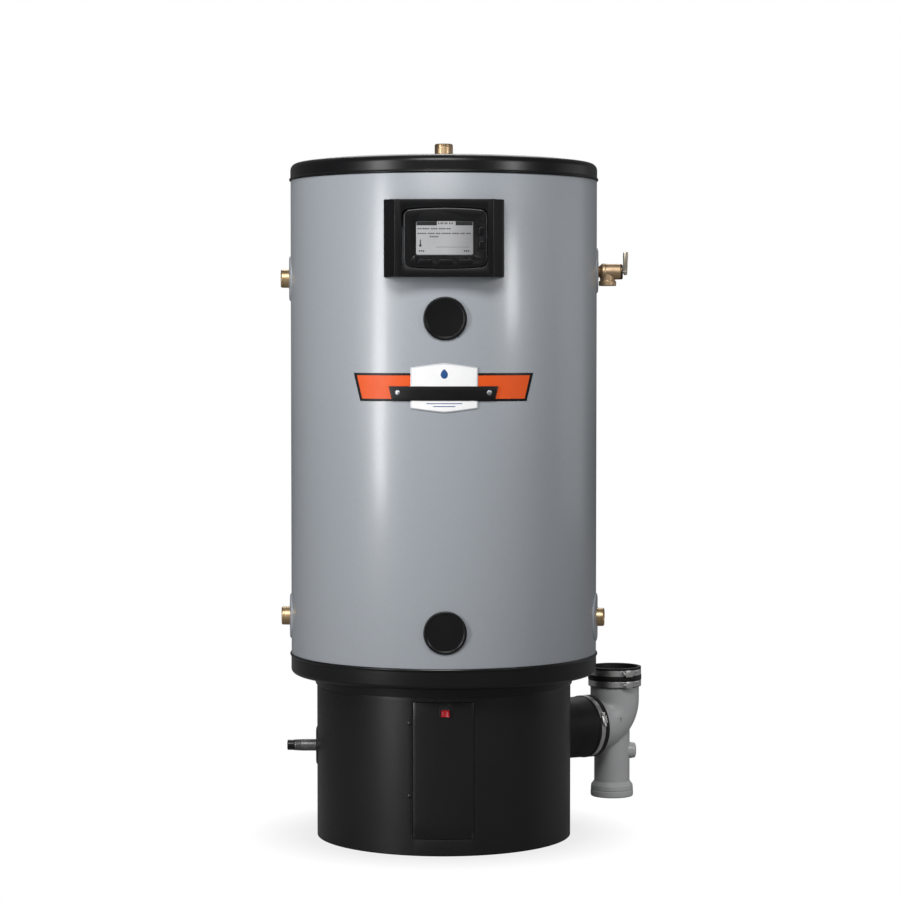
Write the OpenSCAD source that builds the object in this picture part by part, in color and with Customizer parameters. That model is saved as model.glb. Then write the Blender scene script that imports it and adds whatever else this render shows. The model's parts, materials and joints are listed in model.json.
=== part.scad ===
// Condensing tank water heater, floor standing.
// +Z is up, the front faces -Y, and the origin is the centre of the base on the floor.

/* [Jacket] */
// Outside diameter of the round sheet-steel jacket
jacket_d = 560; // [545:1:575]
// Height of the jacket's lower edge above the floor
jacket_bottom = 337; // [334:1:340]
// Height of the jacket's upper edge above the floor
jacket_top = 1198; // [1197:1:1206]
// Thickness of the jacket sheet
sheet_t = 1; // [0.6:0.1:1.2]
// Height of the top cap above the jacket
top_cap_h = 35.4; // [32:0.2:40]
// How far the round bead on each cap stands out
bead_out = 3; // [2:0.5:4]

/* [Base] */
// Outside diameter of the black skirt
skirt_d = 466.4; // [464:0.2:468]
// Height of the skirt
skirt_h = 300; // [299:0.5:301]
// Thickness of the skirt wall
skirt_t = 1.5; // [1:0.1:1.8]
// Width of the access panel in the front of the skirt
panel_w = 108; // [100:1:112]
// Height of the centre of the power switch
switch_z = 253; // [250:1:256]

/* [Tank] */
// Outside diameter of the pressure vessel
tank_d = 456; // [452:1:458]
// Outside diameter of the combustion chamber
chamber_d = 200; // [190:1:204]
// Outside diameter of the flue coil's tube
coil_tube_d = 44; // [38:1:46]
// Radius of the flue coil, to the middle of the tube
coil_r = 165; // [162:1:168]

/* [Water connections] */
// Outside diameter of the pipe nipples, 1 in pipe
nipple_d = 33.4; // [33:0.1:34]
// Height of the upper side nipple
upper_nipple_z = 1021; // [1000:1:1040]
// Height of the lower side nipples
lower_nipple_z = 403; // [395:1:410]
// How far the side nipples reach beyond the jacket
nipple_reach = 18; // [14:1:30]
// Height of the end of the hot outlet nipple
outlet_top = 1267; // [1250:1:1300]
// Turn of the lower right nipple towards the front
right_nipple_turn = 7; // [0:1:12]

/* [Relief valve] */
// Height of the relief valve's axis
relief_z = 1034; // [1020:0.5:1045]
// Outside diameter of the relief valve's barrel
relief_d = 28.6; // [26:0.2:30]

/* [Display] */
// Width of the display housing
display_w = 208; // [200:1:210]
// Height of the display housing
display_h = 134; // [128:1:140]
// Height of the middle of the display
display_z = 1084; // [1075:1:1090]
// How far the display's face stands off the jacket
display_out = 29; // [28:0.5:32]
// Travel of the keys
key_travel = 1; // [0.5:0.1:1.4]

/* [Gas train] */
// Height of the gas pipe
gas_z = 162.5; // [160:0.5:165]
// Outside diameter of the gas pipe, 1/2 in pipe
gas_pipe_d = 21.3; // [21:0.1:22]
// Distance from the heater's axis to the end of the gas pipe
gas_end = 288.5; // [280:0.5:300]

/* [Vent] */
// Turn of the vent outlet from the right side towards the back
vent_turn = 35; // [30:1:40]
// Height of the exhaust coupling's axis
vent_z = 170; // [160:1:175]
// Distance from the heater's axis to the vent tee's axis
tee_out = 402; // [398:1:410]
// Outside diameter of the vent pipe, 3 in pipe
vent_pipe_d = 88.9; // [88.5:0.1:89.3]
// Outside diameter of the drain pipe under the tee, 2 in pipe
drain_pipe_d = 60.3; // [60:0.1:61]

/* [Hidden] */
$fn = 96;

// Gaps: a slip gap between fixed parts, and a running fit between turning ones
gap = 0.2;
run = 0.05;

// Directions, in degrees about +Z from +X
front = -90;
left = 180;
left_nipple_az = left + 2;
right_nipple_az = -right_nipple_turn;
plug_az = front + 0.6;
intake_az = 115;
cable_az = 150;
cable_z = 240;

// Side nipples: direction, height and distance of the end from the heater's axis
side_nipple_places = [[left_nipple_az, upper_nipple_z, jacket_d / 2 + nipple_reach],
                      [left_nipple_az, lower_nipple_z, jacket_d / 2 + nipple_reach],
                      [right_nipple_az, lower_nipple_z, jacket_d / 2 + nipple_reach - 2.5]];

// Radii of the round shells
jacket_r = jacket_d / 2;
skirt_r = skirt_d / 2;
tank_r = tank_d / 2;
nipple_r = nipple_d / 2;
foam_r = jacket_r - sheet_t - 0.5;

// Caps
cap_t = 3;
cap_r = jacket_r + 0.4;
lip_r = jacket_r - sheet_t - 0.3;
lip_h = 12;
bead_h = 5;
top_z = jacket_top + top_cap_h;
collar_h = 20;

// Pressure vessel
tank_t = 2.5;
tank_bottom = 330;
tank_shoulder = 1105;
top_dome_h = 60;
floor_edge_z = 352;
floor_rise = 40;

// Combustion chamber, burner and coil
chamber_r = chamber_d / 2;
chamber_bottom = 332;
chamber_shoulder = 560;
chamber_dome_h = 40;
flange_r = 118;
flange_t = 5;
riser_r = 28;
riser_top = 894;
coil_top = 866;
coil_bottom = 445;
coil_start_az = -45;
coil_turns = 3 + (vent_turn - coil_start_az) / 360;
coil_sides = 8;
coil_steps = 20;

// Side fittings that enter the tank
plug_zs = [946, 400];
plug_r = 38;
plug_neck_r = 33.8;
plug_cavity_r = 36;
relief_thread_r = 13;
anode_r = 10;
anode_az = 135;
anode_out = 120;

// Relief valve, along +X from the jacket
relief_r = relief_d / 2;
relief_seat_x = jacket_r + 3.6;
relief_port_x = jacket_r + 20;
relief_port_bottom = relief_z - 26;
relief_body_end = jacket_r + 43.5;
bonnet_end = jacket_r + 47.8;
lever_pin_x = bonnet_end + 4;
stem_r = 2.4;
pin_r = 1.5;
pin_half = 8.2;
lever_w = 14;
lever_t = 1.4;
poppet_x = jacket_r + 12.5;
poppet_t = 2.5;
stem_travel = 3;

// Display
display_y = -(jacket_r + display_out);
housing_x = 1;
bezel_x = 2.4;
bezel_w = 146;
bezel_h = 96;
bezel_bow = 4;
bezel_t = 6;
screen_x = 4;
screen_w = 102;
screen_h = 58;
// Each key: middle across, middle above the display's middle, width, height
key_sizes = [[-31, -41, 24, 8], [4, -41, 24, 8], [39, -41, 24, 8],
             [66, 12, 10, 14], [66, -12, 10, 14]];

// Nameplate
band_z = [802.6, 851.6];
band_half = [145, 156.5];
center_x = 1.5;
center_half = 58;
center_z = [790.5, 861.4];
center_peak = 7.4;
strip_z = [803.7, 828.7];
strip_half = [89.5, 95.3];
rivet_x = 79;
rivet_z = 817.5;

// Power switch: the rocker turns about a vertical axis behind its face
switch_x = 3.5;
rocker_w = 15;
rocker_h = 12.2;
rocker_pivot_in = 4;
rocker_tip_r = norm([rocker_w / 2, rocker_pivot_in]);
rocker_tilt = 8;
rocker_y = -(skirt_r + 1.8) + rocker_pivot_in;

// Blower, its axis along Y
blower_x = -45;
blower_z = 150;
blower_half = 30;
volute_start_r = 60;
volute_end_r = 73;
duct_half = 28;
duct_top = 238;
wall_t = 3;
wheel_r = 52;
motor_r = 40;
motor_back = 88;
shaft_r = 4;

// Gas valve
valve_x = [-204, -140];
valve_y = [-34, 26];
valve_z = [128, 190];
valve_port_z = 150;
knob_at = [-172, -4];
knob_h = 12;
mixer_port_y = -75;
mixer_r = 30;

// Vent tee and couplings
tee_at = [tee_out * cos(vent_turn), tee_out * sin(vent_turn)];
tee_r = 47;
tee_wall = 6;
tee_bend = 48;
lower_r = 34.4;
lower_shift = 5;
neck_r = vent_pipe_d / 2;
drain_r = drain_pipe_d / 2;
tee_bottom = 30;
collar_top = 57;
collar_r = 41;
neck_z = [243.5, 259];
stop_z = 262;
coupling_top = 281;
coupling_r = 50;
exhaust_r = 58;
exhaust_end = 345;
exhaust_start = skirt_r + 2.5;
branch_start = 300;
boss_z = 117.5;
boss_r = 15.5;

// ---------------------------------------------------------------- shared shapes

// Turns a child so that its +Z points straight out of the heater at angle az and height z.
module radial(az, z) {
    translate([0, 0, z])
        rotate([0, 0, az])
            rotate([0, 90, 0])
                children();
}

// Upright tube from z0 to z1.
module tube(ro, ri, z0, z1) {
    difference() {
        translate([0, 0, z0]) cylinder(r = ro, h = z1 - z0);
        translate([0, 0, z0 - 1]) cylinder(r = ri, h = z1 - z0 + 2);
    }
}

// Box from its two corners.
module block(low, high) {
    translate(low) cube(high - low);
}

// Rectangle with round corners, about the origin.
module round_rect(w, h, r) {
    square([w - 2 * r, h], center = true);
    square([w, h - 2 * r], center = true);
    for (x = [-1, 1], y = [-1, 1])
        translate([x * (w / 2 - r), y * (h / 2 - r)]) circle(r = r);
}

// Stands a flat outline up at the front: its height goes up, its depth runs from y0 to y1.
module front_slab(y0, y1) {
    translate([0, y1, 0])
        rotate([90, 0, 0])
            linear_extrude(y1 - y0)
                children();
}

// Points of an arc, from angle a0 to a1.
function arc(cx, cy, r, a0, a1, n) =
    [for (i = [0 : n]) let (a = a0 + (a1 - a0) * i / n) [cx + r * cos(a), cy + r * sin(a)]];

// Radius of a sphere whose cap has this base radius and this rise.
function cap_sphere(r, rise) = (r * r + rise * rise) / (2 * rise);

// Domed disc: a part of a ball with its base of radius r at z and its middle higher by rise.
module dome_solid(r, z, rise) {
    ball = cap_sphere(r, rise);
    intersection() {
        translate([0, 0, z + rise - ball]) sphere(r = ball);
        translate([0, 0, z]) cylinder(r = r, h = rise + 1);
    }
}

// Thin domed head.
module dome_shell(r, z, rise, t) {
    ball = cap_sphere(r, rise);
    intersection() {
        difference() {
            translate([0, 0, z + rise - ball]) sphere(r = ball);
            translate([0, 0, z + rise - ball]) sphere(r = ball - t);
        }
        translate([0, 0, z - t]) cylinder(r = r, h = rise + t + 1);
    }
}

// Tube swept along a helix that starts at angle a0 and height z0.
module helix(r, tube_r, a0, z0, z1, turns, steps, sides) {
    rings = ceil(turns * steps);
    slope = atan2(z1 - z0, 2 * PI * r * turns);
    points = [for (i = [0 : rings]) let (f = i / rings, a = a0 + 360 * turns * f)
        for (s = [0 : sides - 1])
            let (b = 360 * s / sides, out = r + tube_r * cos(b), up = tube_r * sin(b))
            [out * cos(a) + up * sin(slope) * sin(a),
             out * sin(a) - up * sin(slope) * cos(a),
             z0 + (z1 - z0) * f + up * cos(slope)]];
    walls = [for (i = [0 : rings - 1], s = [0 : sides - 1]) let (t = (s + 1) % sides)
        [i * sides + s, i * sides + t, (i + 1) * sides + t, (i + 1) * sides + s]];
    first = [for (s = [sides - 1 : -1 : 0]) s];
    last = [for (s = [0 : sides - 1]) rings * sides + s];
    polyhedron(points, concat([first, last], walls));
}

// ---------------------------------------------------------------- jacket and caps

// Round openings in the jacket: nipples, relief valve, plugs and the display's wires.
module jacket_openings(extra) {
    for (at = side_nipple_places)
        radial(at[0], at[1]) translate([0, 0, 150]) cylinder(r = nipple_r + 0.4 + extra, h = 200);
    radial(0, relief_z) translate([0, 0, 150]) cylinder(r = relief_thread_r + 0.6 + extra, h = 200);
    for (z = plug_zs)
        radial(plug_az, z) translate([0, 0, 200]) cylinder(r = plug_neck_r + 0.2 + extra, h = 200);
    radial(front, display_z) translate([0, 0, 200]) cylinder(r = 12 + extra, h = 200);
}

module jacket() {
    color("lightslategray")
        difference() {
            tube(jacket_r, jacket_r - sheet_t, jacket_bottom, jacket_top);
            jacket_openings(0);
        }
}

// Half-round bead on a cap's open edge, from height z up to z + bead_h.
function bead(z) = arc(cap_r - 0.1, z + bead_h / 2, bead_h / 2, -90, 90, 10);

module top_cap() {
    corner_r = 12;
    edge_z = top_z - 4.2;
    edge_a = 75;
    corner_x = cap_r - corner_r;
    corner_z = edge_z - corner_r * sin(edge_a);
    edge_x = corner_x + corner_r * cos(edge_a);
    dome_power = 9;
    dome = [for (i = [0 : 12])
        let (f = 1 - i / 12 * 0.5) [edge_x * f, top_z - 4.2 * pow(f, dome_power)]];
    outside = concat([[lip_r, jacket_top - lip_h], [lip_r, jacket_top + gap]], bead(jacket_top + gap),
                     arc(corner_x, corner_z, corner_r, 0, edge_a, 8), dome, [[0, top_z]]);
    inside = [[0, top_z - cap_t], [edge_x - 30, top_z - cap_t - 1.5], [corner_x - 2, edge_z - cap_t],
              [lip_r - cap_t, corner_z], [lip_r - cap_t, jacket_top - lip_h]];
    color([0.1, 0.1, 0.11])
        difference() {
            rotate_extrude() polygon(concat(outside, inside));
            translate([0, 0, jacket_top]) cylinder(r = nipple_r + 0.5, h = 100);
        }
}

module bottom_cap() {
    corner_r = 8;
    floor_r = skirt_r + 3.2;
    inner_r = skirt_r + 0.3;
    low = skirt_h;
    bead_z = jacket_bottom - gap - bead_h;
    outside = concat([[floor_r, low], [cap_r - corner_r, low]],
                     arc(cap_r - corner_r, low + corner_r, corner_r, -80, 0, 6), bead(bead_z),
                     [[lip_r, jacket_bottom - gap], [lip_r, jacket_bottom + lip_h]]);
    inside = [[lip_r - cap_t, jacket_bottom + lip_h], [lip_r - cap_t, low + corner_r],
              [lip_r - corner_r, low + cap_t], [inner_r, low + cap_t], [inner_r, low - collar_h],
              [floor_r, low - collar_h]];
    color([0.1, 0.1, 0.11]) rotate_extrude() polygon(concat(outside, inside));
}

module insulation() {
    ball = cap_sphere(tank_r, top_dome_h);
    color("khaki")
        difference() {
            translate([0, 0, jacket_bottom + lip_h + 3])
                cylinder(r = foam_r, h = jacket_top - jacket_bottom - 2 * lip_h - 6);
            cylinder(r = tank_r + 0.4, h = tank_shoulder);
            dome_solid(tank_r + 0.4, tank_shoulder, top_dome_h + 0.4);
            cylinder(r = nipple_r + 0.5, h = 2000);
            rotate([0, 0, anode_az]) translate([anode_out, 0, 900]) cylinder(r = 18, h = 400);
            jacket_openings(2);
        }
}

// ---------------------------------------------------------------- base

module panel_window(grow) {
    half = panel_w / 2 + grow;
    block([-half, -skirt_r - 10, 30 - grow], [half, -skirt_r + 40, 272 + grow]);
}

// Angle from the front of a screw in the skirt that stands at x.
panel_screw_x = -panel_w / 2 - 6;
panel_screw_az = front + asin(panel_screw_x / skirt_r);
panel_screw_zs = [105, 234];

module panel_screw_holes(r) {
    for (z = panel_screw_zs)
        radial(panel_screw_az, z) translate([0, 0, skirt_r - 15]) cylinder(r = r, h = 30);
}

module skirt() {
    color([0.13, 0.13, 0.14])
        difference() {
            tube(skirt_r, skirt_r - skirt_t, 0, skirt_h - gap);
            panel_window(0.5);
            panel_screw_holes(2.2);
            radial(vent_turn, vent_z) cylinder(r = tee_r + 0.6, h = 300);
            radial(left, gas_z) cylinder(r = gas_pipe_d / 2 + 0.5, h = 300);
            radial(intake_az, vent_z) cylinder(r = 26, h = 300);
            radial(cable_az, cable_z) cylinder(r = 11, h = 300);
        }
}

module access_panel() {
    tab_r = skirt_r - skirt_t - gap;
    color([0.13, 0.13, 0.14])
        difference() {
            union() {
                intersection() {
                    tube(skirt_r, skirt_r - 3, 20, 280);
                    panel_window(0);
                }
                intersection() {
                    tube(tab_r, skirt_r - 3, 20, 280);
                    for (z = panel_screw_zs)
                        block([panel_screw_x - 8, -skirt_r - 10, z - 9], [0, -skirt_r + 40, z + 9]);
                }
            }
            panel_screw_holes(1.9);
            translate([switch_x, 0, 0])
                block([-9.9, -skirt_r - 5, switch_z - 7], [9.9, -skirt_r + 10, switch_z + 7]);
        }
}

module panel_screws() {
    head_r = 4;
    color("dimgray")
        for (z = panel_screw_zs)
            radial(panel_screw_az, z)
                difference() {
                    union() {
                        translate([0, 0, skirt_r - 10]) cylinder(r = 1.8, h = 10.1);
                        translate([0, 0, skirt_r + 0.05]) cylinder(r1 = head_r, r2 = head_r - 1, h = 2);
                    }
                    for (a = [0, 90])
                        rotate([0, 0, a]) translate([-2.2, -0.4, skirt_r + 1]) cube([4.4, 0.8, 2]);
                }
}

module base_plate() {
    color("dimgray") cylinder(r = skirt_r - skirt_t - gap, h = 3);
}

// Deck on the skirt that carries the tank, with a low wall under the tank's edge.
module support_deck() {
    color("slategray")
        difference() {
            union() {
                translate([0, 0, skirt_h]) cylinder(r = skirt_r, h = 3);
                tube(tank_r, tank_r - 10, skirt_h + 3, tank_bottom);
            }
            translate([0, 0, skirt_h - 1]) cylinder(r = flange_r + 8, h = 5);
            rotate([0, 0, vent_turn]) translate([coil_r, 0, skirt_h - 1]) cylinder(r = 27, h = 5);
        }
}

// ---------------------------------------------------------------- tank

module tank_vessel() {
    inner_r = tank_r - tank_t;
    color("steelblue")
        difference() {
            union() {
                tube(tank_r, inner_r, tank_bottom, tank_shoulder);
                dome_shell(tank_r, tank_shoulder, top_dome_h, tank_t);
                dome_shell(inner_r + 0.1, floor_edge_z, floor_rise, tank_t);
            }
            for (at = side_nipple_places)
                radial(at[0], at[1]) translate([0, 0, 100]) cylinder(r = nipple_r + gap, h = 200);
            radial(0, relief_z) translate([0, 0, 100]) cylinder(r = relief_thread_r + gap, h = 200);
            for (z = plug_zs)
                radial(plug_az, z) translate([0, 0, 100]) cylinder(r = 6 + gap, h = 200);
            translate([0, 0, tank_shoulder]) cylinder(r = nipple_r + gap, h = 200);
            translate([0, 0, tank_bottom]) cylinder(r = chamber_r + gap, h = 100);
            rotate([0, 0, vent_turn])
                translate([coil_r, 0, tank_bottom]) cylinder(r = 25 + gap, h = 100);
            rotate([0, 0, anode_az])
                translate([anode_out, 0, tank_shoulder]) cylinder(r = 12 + gap, h = 100);
        }
}

module combustion_chamber() {
    color("silver")
        difference() {
            union() {
                tube(chamber_r, chamber_r - tank_t, chamber_bottom, chamber_shoulder);
                tube(flange_r, chamber_r - tank_t, chamber_bottom, chamber_bottom + flange_t);
                dome_shell(chamber_r, chamber_shoulder, chamber_dome_h, tank_t);
            }
            translate([0, 0, chamber_shoulder]) cylinder(r = riser_r - tank_t, h = 100);
            bolt_circle() translate([0, 0, chamber_bottom - 1]) cylinder(r = 3.4, h = flange_t + 2);
        }
}

// Six places around the burner's flange.
module bolt_circle() {
    for (a = [0 : 60 : 300])
        rotate([0, 0, a + 30]) translate([flange_r - 9, 0, 0]) children();
}

// Riser out of the chamber's top, and the down pipe that ends in the exhaust collector.
module flue_pipes() {
    bore = riser_r - tank_t;
    seat = chamber_shoulder + chamber_dome_h + gap;
    color("silver") {
        difference() {
            union() {
                translate([0, 0, seat]) cylinder(r = riser_r, h = riser_top - seat);
                radial(coil_start_az, coil_top) cylinder(r = coil_tube_d / 2 + 3, h = coil_r);
            }
            translate([0, 0, seat - 1]) cylinder(r = bore, h = riser_top - seat - tank_t + 1);
            radial(coil_start_az, coil_top) cylinder(r = coil_tube_d / 2, h = coil_r - tank_t);
        }
        difference() {
            union() {
                radial(vent_turn, vent_z) translate([0, 0, 120]) cylinder(r = tee_r, h = 172);
                rotate([0, 0, vent_turn]) translate([coil_r, 0, vent_z]) cylinder(r = 25, h = 305);
            }
            radial(vent_turn, vent_z)
                translate([0, 0, 120 + wall_t]) cylinder(r = tee_r - wall_t, h = 200);
            rotate([0, 0, vent_turn]) translate([coil_r, 0, vent_z]) cylinder(r = 22.5, h = 302);
        }
    }
}

module flue_coil() {
    tube_r = coil_tube_d / 2;
    color("silver")
        helix(coil_r, tube_r, coil_start_az, coil_top, coil_bottom, coil_turns, coil_steps, coil_sides);
}

module burner() {
    color("gray") {
        translate([0, 0, chamber_bottom]) tube(45, 43, 0, 150);
        translate([0, 0, chamber_bottom + 150]) cylinder(r = 45, h = 3);
        for (z = [12 : 14 : 138])
            translate([0, 0, chamber_bottom]) tube(46.2, 44.5, z, z + 6);
    }
}

module burner_flange() {
    neck_low = duct_top + 0.2;
    color("darkgray")
        difference() {
            union() {
                translate([0, 0, chamber_bottom - 6]) cylinder(r = flange_r, h = 5.8);
                translate([0, 0, neck_low]) cylinder(r = duct_half, h = chamber_bottom - 6 - neck_low);
                translate([0, 0, neck_low]) linear_extrude(4) round_rect(72, 72, 6);
            }
            translate([0, 0, neck_low - 1]) cylinder(r = duct_half - wall_t, h = 120);
            bolt_circle() translate([0, 0, chamber_bottom - 8]) cylinder(r = 3.4, h = 10);
            for (x = [-1, 1]) translate([x * 60, 0, chamber_bottom - 8]) cylinder(r = 3.2, h = 10);
        }
}

module burner_bolts() {
    color("silver")
        bolt_circle() {
            translate([0, 0, chamber_bottom - 11]) cylinder(r = 6.5, h = 4.8, $fn = 6);
            translate([0, 0, chamber_bottom - 7]) cylinder(r = 3.2, h = 14);
        }
}

// Igniter on one side of the burner and the flame sensor on the other.
module flame_rods() {
    color("ivory")
        for (x = [-1, 1])
            translate([x * 60, 0, 0]) {
                translate([0, 0, chamber_bottom - 30]) cylinder(r = 3, h = 70);
                translate([0, 0, chamber_bottom - 14]) cylinder(r = 6, h = 7.8);
                translate([0, 0, chamber_bottom + 40]) cylinder(r = 1.6, h = 60);
            }
}

module anode_rod() {
    seat = tank_shoulder + top_dome_h * (1 - pow(anode_out / tank_r, 2)) + 7;
    color("gainsboro")
        rotate([0, 0, anode_az]) translate([anode_out, 0, 0]) {
            translate([0, 0, seat]) cylinder(r = 15, h = 10, $fn = 6);
            translate([0, 0, seat - 22]) cylinder(r = 12, h = 22.1);
            translate([0, 0, 650]) cylinder(r = anode_r, h = seat - 650 - 21.9);
        }
}

// ---------------------------------------------------------------- water connections

// Pipe nipple from z0 to its bevelled end at z1, threaded at z0, with a groove below the free stub.
module nipple(z0, z1, stub) {
    thread = 12;
    color("burlywood")
        difference() {
            union() {
                translate([0, 0, z0]) cylinder(r = nipple_r, h = z1 - z0 - 2);
                translate([0, 0, z1 - 2]) cylinder(r1 = nipple_r, r2 = nipple_r - 1.6, h = 2);
            }
            translate([0, 0, z0 - 1]) cylinder(r = nipple_r - 3.4, h = z1 - z0 + 2);
            for (i = [1 : 5])
                translate([0, 0, z0 + thread * i / 5])
                    tube(nipple_r + 1, nipple_r - 0.4, 0, 1.1);
            tube(nipple_r + 1, nipple_r - 0.4, z1 - stub - 1, z1 - stub);
        }
}

module hot_outlet_nipple() {
    nipple(tank_shoulder + top_dome_h - 20, outlet_top, outlet_top - top_z);
}

module side_nipples() {
    for (at = side_nipple_places)
        radial(at[0], at[1]) nipple(tank_r - 12, at[2], at[2] - jacket_r - 3.4);
}

// Low domed rosettes that follow the jacket around each pipe.
module pipe_escutcheons() {
    places = [[left_nipple_az, upper_nipple_z, nipple_r, 41],
              [left_nipple_az, lower_nipple_z, nipple_r, 41],
              [right_nipple_az, lower_nipple_z, nipple_r, 44],
              [0, relief_z + 2, relief_thread_r + 2.5, 41.5]];
    steps = [[0, 1.2], [3, 2.2], [8, 3]];
    color("lightslategray")
        for (p = places)
            difference() {
                for (s = steps)
                    intersection() {
                        tube(jacket_r + s[1], jacket_r + gap, p[1] - 60, p[1] + 60);
                        radial(p[0], p[1]) translate([0, 0, 200]) cylinder(r = p[3] - s[0], h = 120);
                    }
                radial(p[0], p[1]) translate([0, 0, 200]) cylinder(r = p[2] + 0.6, h = 120);
            }
}

// Push-in covers over the two thermistors.
module access_plugs() {
    face = jacket_r + 4.2;
    color([0.1, 0.1, 0.11])
        for (z = plug_zs)
            difference() {
                radial(plug_az, z) {
                    translate([0, 0, jacket_r - 18]) cylinder(r = plug_neck_r, h = 20);
                    translate([0, 0, jacket_r - 6]) cylinder(r = plug_r, h = face - jacket_r + 4);
                    translate([0, 0, face - 2]) cylinder(r1 = plug_r, r2 = plug_r - 3, h = 2);
                }
                difference() {
                    tube(jacket_r + 0.25, jacket_r - 30, z - 60, z + 60);
                    radial(plug_az, z) cylinder(r = plug_neck_r, h = 400);
                }
                radial(plug_az, z) translate([0, 0, face - 1.2]) cylinder(r = plug_r - 6, h = 3);
                radial(plug_az, z) translate([0, 0, jacket_r - 19]) cylinder(r = plug_neck_r - 3, h = 18);
            }
}

module thermistors() {
    color("goldenrod")
        for (z = plug_zs)
            radial(plug_az, z) {
                translate([0, 0, tank_r - 36]) cylinder(r = 3.5, h = 30);
                translate([0, 0, tank_r - 8]) cylinder(r = 6, h = 9);
                translate([0, 0, tank_r + gap]) cylinder(r = 9, h = 8, $fn = 6);
                translate([0, 0, tank_r + 8]) cylinder(r = 5, h = 8);
            }
}

// ---------------------------------------------------------------- display

// Outline of the raised display, seen from the front, grown by g.
module bezel_outline(g) {
    bow_half = bezel_w / 2 - 8;
    bow_r = bow_half * bow_half / (2 * bezel_bow) + bezel_bow / 2;
    tall = bezel_h / 2 + bezel_bow + g;
    round_rect(bezel_w + 2 * g, bezel_h + 2 * g, 12);
    intersection() {
        square([2 * bow_half, 2 * tall], center = true);
        translate([0, tall - bow_r]) circle(r = bow_r);
        translate([0, bow_r - tall]) circle(r = bow_r);
    }
}

module display_housing() {
    half = display_w / 2;
    edge = half - 18;
    flat = display_y + 2;
    plan_right = [[0, display_y], [edge - 8, flat], [edge - 2, flat + 2], [edge, flat + 5],
                  [half - 3, flat + 20], [half - 1, flat + 23], [half, flat + 26], [half, flat + 60]];
    plan_left = [for (i = [len(plan_right) - 1 : -1 : 1]) [-plan_right[i][0], plan_right[i][1]]];
    color([0.08, 0.08, 0.09])
        difference() {
            translate([housing_x, 0, display_z])
                intersection() {
                    translate([0, 0, -display_h / 2])
                        linear_extrude(display_h) polygon(concat(plan_right, plan_left));
                    front_slab(display_y - 5, 0) round_rect(display_w, display_h, 2.5);
                }
            cylinder(r = jacket_r + 0.3, h = 2000);
            translate([bezel_x, 0, display_z]) front_slab(display_y - 5, 0) bezel_outline(1.4);
        }
}

module display_bezel() {
    face = display_y + 0.5;
    color([0.06, 0.06, 0.07])
        difference() {
            translate([bezel_x, 0, display_z]) front_slab(face, face + bezel_t) bezel_outline(0);
            translate([screen_x, 0, display_z])
                front_slab(display_y - 5, 0) round_rect(screen_w, screen_h, 3);
            for (k = key_sizes)
                translate([k[0], 0, display_z + k[1]])
                    front_slab(display_y - 5, 0) round_rect(k[2] + 0.6, k[3] + 0.6, 2.3);
        }
}

module lcd_screen() {
    back_y = display_y + 0.5 + bezel_t;
    color("lightsteelblue")
        translate([screen_x, 0, display_z]) {
            front_slab(back_y - 3.5, back_y + 0.1) round_rect(screen_w - 0.4, screen_h - 0.4, 2.8);
            front_slab(back_y + 0.1, back_y + 4) square([screen_w + 4, screen_h + 4], center = true);
        }
}

module display_board() {
    face = display_y + 13;
    color("seagreen")
        translate([bezel_x, 0, display_z]) front_slab(face, face + 1.6) round_rect(134, 88, 3);
}

// Momentary key number i.
module key(i) {
    k = key_sizes[i];
    color([0.12, 0.12, 0.13])
        translate([k[0], 0, display_z + k[1]])
            front_slab(display_y, display_y + bezel_t + 1.5) round_rect(k[2], k[3], 2);
}

module key_left() { key(0); }
module key_middle() { key(1); }
module key_right() { key(2); }
module key_up() { key(3); }
module key_down() { key(4); }

// ---------------------------------------------------------------- nameplate

// Bends a flat outline, given across and up, onto the jacket between two heights above its surface.
module wrapped(low, high) {
    intersection() {
        tube(jacket_r + high, jacket_r + low, 700, 950);
        front_slab(-jacket_r - 20, -jacket_r / 2) children();
    }
}

// Outline with straight slanted ends: half widths and heights at the bottom and the top.
module slanted(half, z) {
    polygon([[-half[0], z[0]], [half[0], z[0]], [half[1], z[1]], [-half[1], z[1]]]);
}

module nameplate_band() {
    color("darkorange") wrapped(gap, 0.8) slanted(band_half, band_z);
}

module nameplate_center() {
    half = center_half;
    shape = [[0, 1], [0.5, 0.57], [1, 0]];
    low = [for (p = shape) [half * p[0], center_z[0] - center_peak * p[1]]];
    high = [for (p = shape) [half * p[0], center_z[1] + center_peak * p[1]]];
    color("gainsboro")
        wrapped(1, 2.2)
            translate([center_x, 0])
                polygon([low[0], low[1], low[2], high[2], high[1], high[0],
                         [-high[1][0], high[1][1]], [-half, center_z[1]],
                         [-half, center_z[0]], [-low[1][0], low[1][1]]]);
}

// Places of the two rivets, each as an angle about the axis.
rivet_azs = [for (s = [-1, 1]) front + s * asin(rivet_x / jacket_r)];

module nameplate_strip() {
    color([0.07, 0.07, 0.08])
        difference() {
            wrapped(2.4, 3.6) slanted(strip_half, strip_z);
            for (a = rivet_azs) radial(a, rivet_z) cylinder(r = 2.2, h = 400);
        }
}

module nameplate_rivets() {
    color("silver")
        for (a = rivet_azs)
            radial(a, rivet_z) {
                translate([0, 0, jacket_r + 1]) cylinder(r = 2, h = 4);
                translate([0, 0, jacket_r + 3.75]) cylinder(r1 = 4.8, r2 = 3, h = 1.6);
            }
}

// ---------------------------------------------------------------- relief valve

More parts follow.
